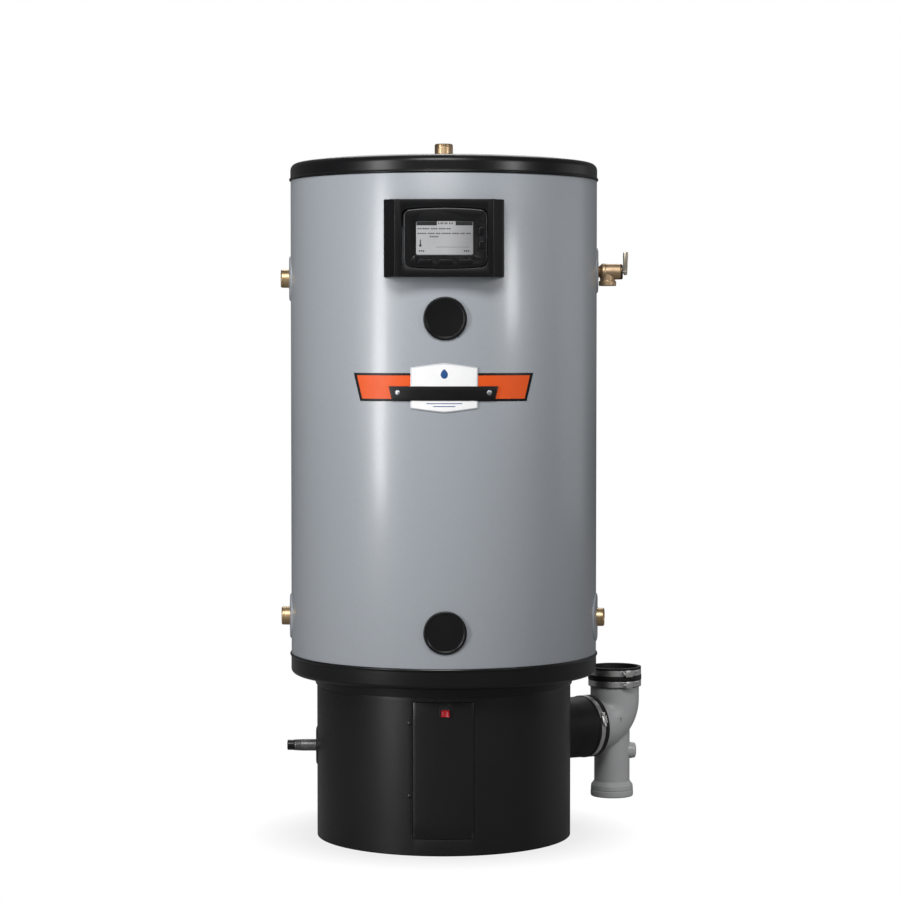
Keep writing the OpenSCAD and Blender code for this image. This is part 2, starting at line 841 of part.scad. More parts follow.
module relief_valve_body() {
    color("darkkhaki")
        difference() {
            union() {
                radial(0, relief_z) {
                    translate([0, 0, tank_r - 10])
                        cylinder(r = relief_thread_r, h = relief_seat_x - tank_r + 10);
                    translate([0, 0, relief_seat_x]) cylinder(r1 = 9.5, r2 = 15, h = 6.4);
                    translate([0, 0, relief_seat_x + 6.4]) cylinder(r = 15.6, h = 6, $fn = 6);
                    translate([0, 0, relief_seat_x + 6.4])
                        cylinder(r = relief_r, h = relief_body_end - relief_seat_x - 6.4);
                    translate([0, 0, 150]) cylinder(r = 4.5, h = tank_r - 150);
                }
                translate([relief_port_x, 0, relief_port_bottom + 8]) cylinder(r = 14, h = 18);
                translate([relief_port_x, 0, relief_port_bottom]) cylinder(r = 16, h = 9);
            }
            radial(0, relief_z) translate([0, 0, jacket_r + 10]) cylinder(r = 9.5, h = 60);
            translate([relief_port_x, 0, relief_port_bottom - 1]) cylinder(r = 12.1, h = 15);
            translate([relief_port_x, 0, relief_port_bottom]) cylinder(r = 8, h = 20);
        }
}

module relief_bonnet() {
    collar_r = relief_r - 0.2;
    color([0.25, 0.22, 0.15])
        radial(0, relief_z)
            difference() {
                union() {
                    translate([0, 0, relief_body_end + 0.1])
                        cylinder(r = collar_r, h = bonnet_end - relief_body_end - 1.1);
                    translate([0, 0, bonnet_end - 1]) cylinder(r1 = collar_r, r2 = collar_r - 1.4, h = 1);
                    translate([0, 0, relief_body_end - 5]) cylinder(r = 9.3, h = 6);
                }
                translate([0, 0, relief_body_end - 6]) cylinder(r = stem_r + run, h = 20);
            }
}

// Puts a child of length l across the lever, around the pin's axis.
module across_lever(l) {
    translate([lever_pin_x, l / 2, relief_z]) rotate([90, 0, 0]) children();
}

// Stem with the poppet on its inner end and a round eye for the pin on its outer end.
module relief_stem() {
    color("silver")
        difference() {
            union() {
                radial(0, relief_z) {
                    translate([0, 0, poppet_x]) cylinder(r = stem_r, h = lever_pin_x - poppet_x);
                    translate([0, 0, poppet_x]) cylinder(r = 8.5, h = poppet_t);
                }
                intersection() {
                    radial(0, relief_z) translate([0, 0, poppet_x]) cylinder(r = stem_r, h = 60);
                    across_lever(2 * stem_r) cylinder(r = stem_r, h = 2 * stem_r);
                }
            }
            across_lever(40) cylinder(r = pin_r + 0.02, h = 40);
        }
}

module relief_pin() {
    color("silver") across_lever(2 * pin_half) cylinder(r = pin_r, h = 2 * pin_half);
}

module relief_spring() {
    low = poppet_x + poppet_t + stem_travel + 1.2;
    high = relief_body_end - 6;
    color("dimgray")
        radial(0, relief_z) helix(6, 0.8, 0, low, high, 5, 12, 6);
}

// Test lever: a channel that turns on the pin, its two sides on either side of the stem.
module relief_lever() {
    outline = [[-2.9, -2.5], [-2.9, 8], [-3.3, 30], [-2.5, 35.5], [0, 36.5], [5.7, 36], [5.7, 34],
               [4.4, 0], [3.9, -5.5], [0.5, -6.5], [-1.5, -5.5]];
    inside = [[-9, -12], [-9, 34.5], [4.2, 34.5], [2.8, 0], [2.2, -12]];
    inner_w = lever_w - 2 * lever_t;
    color("tan")
        difference() {
            across_lever(lever_w) linear_extrude(lever_w) polygon(outline);
            across_lever(inner_w) linear_extrude(inner_w) polygon(inside);
            across_lever(40) cylinder(r = pin_r + run, h = 40);
        }
}

// ---------------------------------------------------------------- gas train

module gas_pipe() {
    color([0.3, 0.3, 0.31])
        radial(left, gas_z)
            difference() {
                tube(gas_pipe_d / 2, gas_pipe_d / 2 - 2.8, -valve_x[0] + gap, gas_end - 14);
                tube(gas_pipe_d, gas_pipe_d / 2 - 0.4, skirt_r + 1.4, skirt_r + 2.4);
            }
}

module gas_pipe_cap() {
    plug_end_r = gas_pipe_d / 2 - 0.8;
    color([0.12, 0.12, 0.12])
        radial(left, gas_z) {
            translate([0, 0, gas_end - 13.8]) cylinder(r = plug_end_r, h = 12.6);
            translate([0, 0, gas_end - 1.2]) cylinder(r1 = plug_end_r, r2 = plug_end_r - 1.2, h = 1.2);
        }
}

module gas_escutcheon() {
    color([0.1, 0.1, 0.11])
        difference() {
            for (s = [[34.7, 1.2], [31, 2.4]])
                intersection() {
                    tube(skirt_r + s[1], skirt_r + gap, gas_z - 50, gas_z + 50);
                    radial(left, gas_z) translate([0, 0, 200]) cylinder(r = s[0], h = 80);
                }
            radial(left, gas_z) translate([0, 0, 200]) cylinder(r = gas_pipe_d / 2 + 0.4, h = 80);
        }
}

module gas_valve() {
    low = [valve_x[0], valve_y[0], valve_z[0]];
    high = [valve_x[1], valve_y[1], valve_z[1]];
    color("silver")
        difference() {
            union() {
                block(low, high);
                for (x = [-188, -156])
                    translate([x, valve_y[0], 175]) rotate([-90, 0, 0]) translate([0, 0, -14])
                        cylinder(r = 13, h = 16);
                translate([knob_at[0], knob_at[1], valve_z[1]]) cylinder(r = shaft_r, h = 9);
            }
            radial(left, gas_z) translate([0, 0, -valve_x[0] - 20]) cylinder(r = 8, h = 30);
            translate([-170, valve_y[0] - 1, valve_port_z])
                rotate([-90, 0, 0]) cylinder(r = 6.5, h = 30);
        }
}

module gas_valve_knob() {
    color("firebrick")
        translate([knob_at[0], knob_at[1], valve_z[1] + 0.3])
            difference() {
                union() {
                    cylinder(r = 15, h = knob_h - 4);
                    translate([-13, -3, 0]) cube([26, 6, knob_h]);
                }
                translate([0, 0, -1]) cylinder(r = shaft_r + run, h = 10.5);
            }
}

// Venturi on the blower's inlet, with the gas tube that joins it to the valve.
module gas_air_mixer() {
    back_y = -blower_half - gap;
    tube_r = 8;
    bend_r = 25;
    bend_x = -170 + bend_r;
    bend_y = mixer_port_y + bend_r;
    riser = valve_y[0] - gap - bend_y;
    color("darkgray")
        difference() {
            union() {
                translate([blower_x, back_y, blower_z]) rotate([90, 0, 0]) {
                    cylinder(r = mixer_r + 9, h = 5);
                    cylinder(r = mixer_r - 4, h = 68);
                    translate([0, 0, 34]) cylinder(r = mixer_r + 2, h = 24);
                    translate([0, 0, 58]) cylinder(r1 = mixer_r - 4, r2 = mixer_r + 4, h = 14);
                }
                translate([bend_x, mixer_port_y, valve_port_z])
                    rotate([0, 90, 0]) cylinder(r = tube_r, h = blower_x - mixer_r + 6 - bend_x);
                translate([bend_x, bend_y, valve_port_z])
                    rotate([0, 0, 180])
                        rotate_extrude(angle = 90) translate([bend_r, 0]) circle(r = tube_r);
                translate([-170, bend_y, valve_port_z]) rotate([-90, 0, 0]) cylinder(r = tube_r, h = riser);
            }
            translate([blower_x, back_y + 1, blower_z])
                rotate([90, 0, 0]) cylinder(r = mixer_r - 9, h = 80);
            translate([blower_x, back_y - 60, blower_z])
                rotate([90, 0, 0]) cylinder(r1 = mixer_r - 9, r2 = mixer_r, h = 12.5);
        }
}

// ---------------------------------------------------------------- blower

// Spiral case with its outlet going up; inset makes the inner outline.
module volute(inset) {
    growth = volute_end_r - volute_start_r;
    spiral = [for (a = [0 : 10 : 360]) let (r = volute_start_r + growth * a / 360 - inset)
        [r * cos(a), r * sin(a)]];
    polygon(spiral);
    translate([volute_end_r - 2 * duct_half + inset, 0])
        square([2 * (duct_half - inset), duct_top - blower_z + (inset > 0 ? 1 : 0)]);
}

module blower_housing() {
    color("dimgray")
        difference() {
            translate([blower_x, 0, blower_z]) rotate([90, 0, 0])
                linear_extrude(2 * blower_half, center = true) volute(0);
            translate([blower_x, 0, blower_z]) rotate([90, 0, 0])
                linear_extrude(2 * (blower_half - wall_t), center = true) volute(wall_t);
            translate([blower_x, 0, blower_z]) rotate([90, 0, 0]) cylinder(r = 24, h = 40);
            translate([blower_x, 0, blower_z]) rotate([-90, 0, 0]) cylinder(r = 7, h = 40);
        }
}

module blower_motor() {
    start = blower_half + gap;
    color([0.2, 0.2, 0.22])
        translate([blower_x, start, blower_z]) rotate([-90, 0, 0])
            difference() {
                union() {
                    cylinder(r = motor_r, h = motor_back - start);
                    cylinder(r = motor_r + 8, h = 4);
                }
                for (z = [12 : 8 : 44])
                    translate([0, 0, z]) tube(motor_r + 1, motor_r - 2, 0, 3);
                translate([0, 0, -1]) cylinder(r = shaft_r + run, h = 42);
            }
}

module blower_impeller() {
    wheel_back = blower_half - wall_t - 3;
    blades = 28;
    color("gainsboro")
        translate([blower_x, 0, blower_z]) rotate([-90, 0, 0]) {
            translate([0, 0, wheel_back - 2]) cylinder(r = wheel_r, h = 2);
            translate([0, 0, wheel_back - 20]) cylinder(r = 9, h = 20);
            translate([0, 0, wheel_back - 20]) cylinder(r = shaft_r, h = 58);
            translate([0, 0, -22]) tube(wheel_r, wheel_r - 15, 0, 2);
            for (i = [0 : blades - 1])
                rotate([0, 0, 360 * i / blades]) translate([wheel_r - 14, -0.7, -21])
                    cube([13, 1.4, wheel_back + 20]);
        }
}

module control_box() {
    color([0.2, 0.2, 0.21]) {
        block([70, -150, 3 + gap], [150, -60, 140]);
        for (z = [20, 120]) block([66, -110, z], [70.1, -100, z + 10]);
    }
}

// ---------------------------------------------------------------- power switch

module switch_housing() {
    face_y = -skirt_r - 1.8;
    cavity_w = 2 * rocker_tip_r + 0.4;
    slot_h = rocker_h + 0.4;
    color([0.07, 0.07, 0.08])
        translate([switch_x, 0, switch_z])
            difference() {
                union() {
                    front_slab(face_y, -skirt_r - 0.1) round_rect(21.6, 15.6, 1.5);
                    front_slab(-skirt_r - 0.2, -skirt_r + 20) square([19.4, 13.6], center = true);
                }
                front_slab(face_y - 1, face_y + 2.2) square([rocker_w + 1.6, slot_h], center = true);
                front_slab(face_y + 1.2, face_y + 13) square([cavity_w, slot_h], center = true);
            }
}

module switch_rocker() {
    low = -rocker_pivot_in - 1.4;
    color("red")
        translate([switch_x, rocker_y, switch_z - rocker_h / 2])
            rotate([0, 0, -rocker_tilt])
                linear_extrude(rocker_h)
                    intersection() {
                        circle(r = rocker_tip_r);
                        polygon([[-9, 3], [-9, low], [0, low + 2], [9, low], [9, 3]]);
                    }
}

// ---------------------------------------------------------------- vent

module exhaust_coupling() {
    rim_r = exhaust_r + 1.2;
    color([0.12, 0.12, 0.12])
        radial(vent_turn, vent_z)
            difference() {
                union() {
                    translate([0, 0, exhaust_start])
                        cylinder(r = exhaust_r, h = exhaust_end - exhaust_start);
                    translate([0, 0, exhaust_start + 6]) cylinder(r = rim_r, h = 5);
                    translate([0, 0, exhaust_end - 25]) cylinder(r = rim_r, h = 4.4);
                    translate([0, 0, exhaust_end - 10.4]) cylinder(r = rim_r, h = 10.4);
                }
                translate([0, 0, exhaust_start - 1]) cylinder(r = tee_r + gap, h = 200);
            }
}

// Worm-drive band of radius r and width w, its screw at angle a around the band.
module band_clamp(r, w, a) {
    tube(r + 0.9, r + 0.1, 0, w);
    rotate([0, 0, a]) {
        block([r + 0.5, -8, 0.2], [r + 3, 8, w - 0.2]);
        block([r + 2.2, -8, -1.2], [r + 8, 8, w + 1.2]);
        translate([r + 5, 14, w / 2]) rotate([90, 0, 0]) cylinder(r = 2.6, h = 28);
        translate([r + 5, -13, w / 2]) rotate([90, 0, 0]) cylinder(r = 4.2, h = 5, $fn = 6);
    }
}

module band_clamps() {
    color("silver") {
        radial(vent_turn, vent_z) translate([0, 0, exhaust_end - 20]) band_clamp(exhaust_r, 9, -108);
        translate([tee_at[0], tee_at[1], 0]) {
            translate([0, 0, coupling_top - 15.2]) band_clamp(coupling_r, 10.8, -64);
            translate([0, 0, neck_z[0] + 1.2]) band_clamp(coupling_r, 10.8, -64);
        }
    }
}

module vent_tee() {
    color("gray")
        difference() {
            union() {
                elbow(tee_r, branch_start, neck_z[0] - gap);
                translate([tee_at[0], tee_at[1], neck_z[0] - 1])
                    cylinder(r = neck_r, h = neck_z[1] - neck_z[0] + 1);
                translate([tee_at[0] - lower_shift, tee_at[1], 0]) {
                    translate([0, 0, collar_top - 1]) cylinder(r = lower_r, h = vent_z - collar_top);
                    translate([0, 0, tee_bottom]) cylinder(r = collar_r, h = collar_top - tee_bottom - 3);
                    translate([0, 0, collar_top - 3]) cylinder(r1 = collar_r, r2 = lower_r + 2, h = 3);
                    translate([0, 0, boss_z]) rotate([0, 90, 0]) boss();
                }
            }
            elbow(tee_r - tee_wall, branch_start - 1, neck_z[1] + 1);
            translate([tee_at[0] - lower_shift, tee_at[1], 0]) {
                translate([0, 0, tee_bottom - 1]) cylinder(r = drain_r, h = collar_top - tee_bottom + 1);
                translate([0, 0, tee_bottom]) cylinder(r = lower_r - 5, h = vent_z - tee_bottom);
                translate([0, 0, collar_top - 14]) tube(collar_r + 1, collar_r - 0.6, 0, 1.2);
            }
        }
}

// Branch, slightly slimmer bend and upright barrel of the tee, of radius r.
module elbow(r, start, top) {
    bend_z = vent_z + tee_bend;
    lap = 2;
    radial(vent_turn, vent_z)
        translate([0, 0, start]) cylinder(r = r, h = tee_out - tee_bend + lap - start);
    rotate([0, 0, vent_turn])
        translate([tee_out - tee_bend, 0, bend_z])
            rotate([90, 0, 0]) rotate([0, 0, -90])
                rotate_extrude(angle = 90) translate([tee_bend, 0]) circle(r = r - 0.4);
    translate([tee_at[0], tee_at[1], bend_z - lap]) cylinder(r = r, h = top - bend_z + lap);
}

// Clean-out boss, round at its end.
module boss() {
    edge = 5;
    end = lower_r + 11.6;
    rotate_extrude()
        polygon(concat([[0, 0], [boss_r, 0]], arc(boss_r - edge, end - edge, edge, 0, 75, 6),
                       [[boss_r - edge - 4, end + 0.4], [0, end + 0.8]]));
}

module vent_coupling() {
    seat_r = neck_r + run;
    color([0.12, 0.12, 0.12])
        translate([tee_at[0], tee_at[1], 0])
            difference() {
                union() {
                    translate([0, 0, neck_z[0]]) cylinder(r = coupling_r, h = coupling_top - neck_z[0]);
                    translate([0, 0, coupling_top - 3]) cylinder(r = coupling_r + 0.8, h = 3);
                    translate([0, 0, neck_z[1] - 3]) cylinder(r = coupling_r + 1.6, h = 9.2);
                    translate([0, 0, neck_z[0]]) cylinder(r = coupling_r + 0.8, h = 1);
                }
                translate([0, 0, neck_z[0] - 1]) cylinder(r = seat_r, h = neck_z[1] + gap - neck_z[0] + 1);
                translate([0, 0, neck_z[0]]) cylinder(r = 42, h = 60);
                translate([0, 0, stop_z]) cylinder(r = seat_r, h = 60);
            }
}

// ---------------------------------------------------------------- rear fittings

module air_intake() {
    socket_r = 36;
    color([0.2, 0.2, 0.2])
        difference() {
            union() {
                intersection() {
                    tube(skirt_r + 3, skirt_r + gap, vent_z - 60, vent_z + 60);
                    radial(intake_az, vent_z) translate([0, 0, 200]) cylinder(r = 46, h = 80);
                }
                difference() {
                    radial(intake_az, vent_z)
                        translate([0, 0, skirt_r - 10]) cylinder(r = socket_r, h = 44);
                    translate([0, 0, vent_z - 60]) cylinder(r = skirt_r + gap, h = 120);
                }
            }
            radial(intake_az, vent_z) translate([0, 0, skirt_r + 6]) cylinder(r = drain_r, h = 60);
            radial(intake_az, vent_z) translate([0, 0, skirt_r - 20]) cylinder(r = 25, h = 60);
        }
}

module cable_bushing() {
    color([0.1, 0.1, 0.1])
        radial(cable_az, cable_z)
            difference() {
                union() {
                    translate([0, 0, skirt_r - 8]) cylinder(r = 10.6, h = 10);
                    translate([0, 0, skirt_r + 0.8]) cylinder(r = 14, h = 4);
                    translate([0, 0, skirt_r + 4.8]) cylinder(r1 = 12, r2 = 9, h = 6);
                }
                translate([0, 0, skirt_r - 10]) cylinder(r = 7, h = 11);
                translate([0, 0, skirt_r - 10]) cylinder(r = 5, h = 40);
            }
}

// ---------------------------------------------------------------- the parts

jacket();
top_cap();
bottom_cap();
skirt();
access_panel();
panel_screws();
base_plate();
support_deck();
insulation();
tank_vessel();
combustion_chamber();
flue_pipes();
flue_coil();
burner();
burner_flange();
burner_bolts();
flame_rods();
anode_rod();
hot_outlet_nipple();
side_nipples();
pipe_escutcheons();
access_plugs();
thermistors();
display_housing();
display_bezel();
lcd_screen();
display_board();
key_left();
key_middle();
key_right();
key_up();
key_down();
nameplate_band();
nameplate_center();
nameplate_strip();
nameplate_rivets();
relief_valve_body();
relief_bonnet();
relief_stem();
relief_pin();
relief_spring();
relief_lever();
gas_pipe();
gas_pipe_cap();
gas_escutcheon();
gas_valve();
gas_valve_knob();
gas_air_mixer();
blower_housing();
blower_motor();
blower_impeller();
control_box();
switch_housing();
switch_rocker();
exhaust_coupling();
band_clamps();
vent_tee();
vent_coupling();
air_intake();
cable_bushing();
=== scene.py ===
"""Looks of the tank water heater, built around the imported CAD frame. Units are metres; the front faces -Y."""
import json
import math

import bmesh
import bpy
from mathutils import Matrix, Vector


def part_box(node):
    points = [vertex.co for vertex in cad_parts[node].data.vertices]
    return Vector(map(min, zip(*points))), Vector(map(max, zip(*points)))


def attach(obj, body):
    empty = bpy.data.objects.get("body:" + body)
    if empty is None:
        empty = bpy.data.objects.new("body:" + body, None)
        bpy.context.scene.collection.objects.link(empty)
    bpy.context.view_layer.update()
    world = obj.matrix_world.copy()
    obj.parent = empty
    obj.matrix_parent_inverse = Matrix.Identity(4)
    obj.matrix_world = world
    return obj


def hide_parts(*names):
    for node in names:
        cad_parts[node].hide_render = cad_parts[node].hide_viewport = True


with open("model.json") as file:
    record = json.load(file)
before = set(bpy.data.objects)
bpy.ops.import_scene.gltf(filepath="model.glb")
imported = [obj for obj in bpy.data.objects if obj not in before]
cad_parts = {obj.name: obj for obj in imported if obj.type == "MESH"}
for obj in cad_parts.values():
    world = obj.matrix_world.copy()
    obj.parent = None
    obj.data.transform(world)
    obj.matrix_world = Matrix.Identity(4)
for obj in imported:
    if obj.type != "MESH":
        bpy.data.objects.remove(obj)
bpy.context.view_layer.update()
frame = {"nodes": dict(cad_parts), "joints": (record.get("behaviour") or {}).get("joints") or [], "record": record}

MM = 0.001
FRONT, BACK, LEFT, RIGHT = -90.0, 90.0, 180.0, 0.0
SKIRT_SEAM_AZ = 80.0
JACKET_SEAM_AZ = 100.0
TAB_HEIGHTS = (0.105, 0.234)


# ------------------------------------------------------------------ sizes, read from the frame

def middle(node):
    """Middle of a CAD node's box."""
    low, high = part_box(node)
    return (low + high) / 2


def mount(name):
    """Place and radius of one of the record's mounts."""
    for m in frame["record"]["mounts"]:
        if m["name"] == name:
            return Vector(m["pos_m"]), m["dims"].get("r_mm", 0) * MM
    raise ValueError(name)


jacket_low, jacket_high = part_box("jacket")
JACKET_R = jacket_high.x
JACKET_Z = (jacket_low.z, jacket_high.z)
SKIRT_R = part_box("skirt")[1].x
SKIRT_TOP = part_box("skirt")[1].z
CAP_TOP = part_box("top_cap")[1].z
CAP_BEAD_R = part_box("top_cap")[1].x
PANEL_LOW, PANEL_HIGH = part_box("access_panel")
TEE_AXIS, VENT_PIPE_R = mount("vent_outlet")
VENT_AZ = math.degrees(math.atan2(TEE_AXIS.y, TEE_AXIS.x))
VENT_Z = middle("exhaust_coupling").z
TEE_OUT = math.hypot(TEE_AXIS.x, TEE_AXIS.y)
RELIEF_Z = middle("relief_bonnet").z


# ------------------------------------------------------------------ mesh tools

def new_object(name, mesh, materials, smooth=32.0):
    """Object from a mesh, smooth shaded except across edges sharper than the angle."""
    obj = bpy.data.objects.new(name, mesh)
    bpy.context.scene.collection.objects.link(obj)
    for material in materials:
        mesh.materials.append(material)
    mesh.polygons.foreach_set("use_smooth", [True] * len(mesh.polygons))
    mesh.set_sharp_from_angle(angle=math.radians(smooth))
    return obj


def from_lists(name, verts, faces, materials, smooth=32.0):
    mesh = bpy.data.meshes.new(name)
    mesh.from_pydata(verts, [], faces)
    mesh.validate()
    tidy = bmesh.new()
    tidy.from_mesh(mesh)
    bmesh.ops.recalc_face_normals(tidy, faces=tidy.faces)
    tidy.to_mesh(mesh)
    tidy.free()
    return new_object(name, mesh, materials, smooth)


def settle(obj, smooth=32.0):
    """Applies an object's modifiers to its mesh."""
    bpy.context.view_layer.update()
    graph = bpy.context.evaluated_depsgraph_get()
    mesh = bpy.data.meshes.new_from_object(obj.evaluated_get(graph))
    old = obj.data
    obj.modifiers.clear()
    obj.data = mesh
    bpy.data.meshes.remove(old)
    mesh.polygons.foreach_set("use_smooth", [True] * len(mesh.polygons))
    mesh.set_sharp_from_angle(angle=math.radians(smooth))
    return obj


def bevelled(obj, width, segments=2, angle=35.0):
    bevel = obj.modifiers.new("bevel", "BEVEL")
    bevel.width = width
    bevel.segments = segments
    bevel.limit_method = "ANGLE"
    bevel.angle_limit = math.radians(angle)
    return settle(obj)


def cut(obj, tool):
    """Takes the tool's volume out of the object and removes the tool."""
    boolean = obj.modifiers.new("cut", "BOOLEAN")
    boolean.operation = "DIFFERENCE"
    boolean.solver = "EXACT"
    boolean.object = tool
    settle(obj)
    bpy.data.objects.remove(tool)
    return obj


def join(name, parts):
    """One object out of several, keeping each part's materials."""
    mesh = bpy.data.meshes.new(name)
    merged = bmesh.new()
    materials = []
    for part in parts:
        offset = []
        for m in part.data.materials:
            if m not in materials:
                materials.append(m)
            offset.append(materials.index(m))
        count = len(merged.faces)
        merged.from_mesh(part.data)
        merged.faces.ensure_lookup_table()
        for face in merged.faces[count:]:
            face.material_index = offset[face.material_index] if offset else 0
    merged.to_mesh(mesh)
    merged.free()
    for part in parts:
        bpy.data.objects.remove(part)
    return new_object(name, mesh, materials)


def outward(azimuth, height, out=0.0):
    """Matrix that turns +Z straight out of the heater at an azimuth and height; +Y stays up."""
    a = math.radians(azimuth)
    side = Vector((-math.sin(a), math.cos(a), 0))
    up = Vector((0, 0, 1))
    axis = Vector((math.cos(a), math.sin(a), 0))
    turn = Matrix((side, up, axis)).transposed().to_4x4()
    return Matrix.Translation(Vector((0, 0, height)) + axis * out) @ turn


def put(obj, matrix):
    obj.data.transform(matrix)
    return obj


def rounded(points, closed=True, steps=4):
    """Outline whose corners, given as (x, y, radius in millimetres), are arcs."""
    out = []
    n = len(points)
    for i, (x, y, r) in enumerate(points):
        here = Vector((x, y))
        if r <= 0 or (not closed and i in (0, n - 1)):
            out.append((x, y))
            continue
        before = Vector(points[i - 1][:2]) - here
        after = Vector(points[(i + 1) % n][:2]) - here
        half = before.angle(after) / 2
        if half > math.radians(89):
            out.append((x, y))
            continue
        reach = min(r * MM / math.tan(half), 0.49 * before.length, 0.49 * after.length)
        r = reach * math.tan(half)
        centre = here + (before.normalized() + after.normalized()).normalized() * (r / math.sin(half))
        start = here + before.normalized() * reach - centre
        end = here + after.normalized() * reach - centre
        sweep = start.angle_signed(end)
        for k in range(steps + 1):
            spoke = start.copy()
            spoke.rotate(Matrix.Rotation(-sweep * k / steps, 2))
            out.append(tuple(centre + spoke))
    return out


def lathe(name, profile, materials, segments=96, closed=True, smooth=32.0):
    """Body of revolution about +Z from (radius, height) points; a point on the axis closes it."""
    verts, faces, rings = [], [], []
    for r, z in profile:
        if r < 1e-7:
            rings.append([len(verts)])
            verts.append((0, 0, z))
            continue
        rings.append(list(range(len(verts), len(verts) + segments)))
        for k in range(segments):
            a = 2 * math.pi * k / segments
            verts.append((r * math.cos(a), r * math.sin(a), z))
    pairs = list(zip(rings, rings[1:]))
    if closed:
        pairs.append((rings[-1], rings[0]))
    for one, two in pairs:
        for k in range(segments):
            n = (k + 1) % segments
            if len(one) == 1 and len(two) > 1:
                faces.append((one[0], two[n], two[k]))
            elif len(two) == 1 and len(one) > 1:
                faces.append((one[k], one[n], two[0]))
            elif len(one) > 1:
                faces.append((one[k], one[n], two[n], two[k]))
    return from_lists(name, verts, faces, materials, smooth)


def turned(name, points, materials, segments=96, closed=True, smooth=32.0, steps=4):
    """Body of revolution from an outline of (radius, height, corner radius) points."""
    return lathe(name, rounded(points, closed, steps), materials, segments, closed, smooth)


def ring_stack(name, rings, materials, cap_first=True, cap_last=True, smooth=32.0):
    """Skin over rings of 3-D points, all with the same count."""
    n = len(rings[0])
    verts = [p for ring in rings for p in ring]
    faces = []
    for i in range(len(rings) - 1):
        for k in range(n):
            m = (k + 1) % n
            faces.append((i * n + k, i * n + m, (i + 1) * n + m, (i + 1) * n + k))
    if cap_first:
        faces.append(tuple(reversed(range(n))))
    if cap_last:
        faces.append(tuple(range((len(rings) - 1) * n, len(rings) * n)))
    return from_lists(name, verts, faces, materials, smooth)


def inset(outline, distance):
    """Outline moved inwards by a small distance; it runs anticlockwise."""
    n = len(outline)
    out = []
    for i in range(n):
        p = Vector(outline[i])
        a = (p - Vector(outline[i - 1])).normalized()
        b = (Vector(outline[(i + 1) % n]) - p).normalized()
        along = (a + b).normalized()
        normal = Vector((-along.y, along.x))
        out.append(tuple(p + normal * distance / max(0.5, normal.dot(Vector((-a.y, a.x))))))
    return out


def round_rect(w, h, r, steps=5):
    return rounded([(w / 2, -h / 2, r), (w / 2, h / 2, r), (-w / 2, h / 2, r), (-w / 2, -h / 2, r)],
        steps=steps)


def plate(name, outline, low, high, edge, materials):
    """Flat piece with a rounded front edge: outline in x, y, thickness along +Z from low to high."""
    rings = [[(x, y, low) for x, y in outline], [(x, y, high - edge) for x, y in outline]]
    for k in range(1, 4):
        a = math.pi / 2 * k / 3
        ring = inset(outline, edge * (1 - math.cos(a)))
        rings.append([(x, y, high - edge + edge * math.sin(a)) for x, y in ring])
    return ring_stack(name, rings, materials)


def bar(name, a, b, radius, materials, segments=24, edge=0.0):
    """Round bar between two points."""
    axis = Vector(b) - Vector(a)
    length = axis.length
    profile = rounded([(0, 0, 0), (radius, 0, edge), (radius, length, edge), (0, length, 0)], closed=False)
    piece = lathe(name, profile, materials, segments, closed=False)
    turn = axis.to_track_quat("Z", "Y").to_matrix().to_4x4()
    return put(piece, Matrix.Translation(a) @ turn)


def box_piece(name, low, high, edge, materials, segments=2):
    """Box with rounded edges."""
    mesh = bpy.data.meshes.new(name)
    solid = bmesh.new()
    bmesh.ops.create_cube(solid, size=1.0)
    size = Vector(high) - Vector(low)
    for v in solid.verts:
        v.co = Vector(low) + Vector(((v.co.x + 0.5) * size.x, (v.co.y + 0.5) * size.y,
            (v.co.z + 0.5) * size.z))
    solid.to_mesh(mesh)
    solid.free()
    return bevelled(new_object(name, mesh, materials), edge, segments)


def cast(name, parts, voxel, relax, materials):
    """Melts overlapping solids into one cast body with soft inner corners."""
    body = join(name, parts)
    melt = body.modifiers.new("melt", "REMESH")
    melt.mode = "VOXEL"
    melt.voxel_size = voxel
    soften = body.modifiers.new("soften", "SMOOTH")
    soften.factor = 0.6
    soften.iterations = relax
    settle(body)
    body.data.materials.clear()
    for material in materials:
        body.data.materials.append(material)
    return body


def on_jacket(u, v, h, radius, centre_az=FRONT):
    """Point of a flat sheet bent onto a round shell: u runs across to the right, v is the height."""
    a = math.radians(centre_az) + u / radius
    return ((radius + h) * math.cos(a), (radius + h) * math.sin(a), v)


def shell_grid(name, radius, thickness, azimuths, heights, keep, materials, edge):
    """Sheet-metal shell made of cells of a round grid; keep(az, z) says which cells stay."""
    verts = []
    for z in heights:
        for az in azimuths:
            verts.append(on_jacket(0, z, 0, radius, az))
    n = len(azimuths)
    ring = abs(azimuths[-1] - azimuths[0]) > 359
    faces = []
    for j in range(len(heights) - 1):
        for i in range(n - 1):
            if keep((azimuths[i] + azimuths[i + 1]) / 2, (heights[j] + heights[j + 1]) / 2):
                faces.append((j * n + i, j * n + i + 1, (j + 1) * n + i + 1, (j + 1) * n + i))
    mesh = bpy.data.meshes.new(name)
    mesh.from_pydata(verts, [], faces)
    clean = bmesh.new()
    clean.from_mesh(mesh)
    if ring:
        bmesh.ops.remove_doubles(clean, verts=clean.verts, dist=1e-6)
    loose = [v for v in clean.verts if not v.link_faces]
    bmesh.ops.delete(clean, geom=loose, context="VERTS")
    clean.to_mesh(mesh)
    clean.free()
    shell = new_object(name, mesh, materials)
    solid = shell.modifiers.new("sheet", "SOLIDIFY")
    solid.thickness = thickness
    solid.offset = -1
    solid.use_even_offset = True
    return bevelled(shell, edge, 2, 50)


def mm(points):
    """Outline points written in millimetres, in metres; a corner radius stays as it is."""
    return [(point[0] * MM, point[1] * MM, *point[2:]) for point in points]


def sheet_strip(name, section, low, high, radius, azimuth, material):
    """Upright strip on a round shell; its section is (across, out) points in millimetres."""
    rings = [[on_jacket(u * MM, z, h * MM, radius, azimuth) for u, h in section] for z in (low, high)]
    return ring_stack(name, rings, [material])


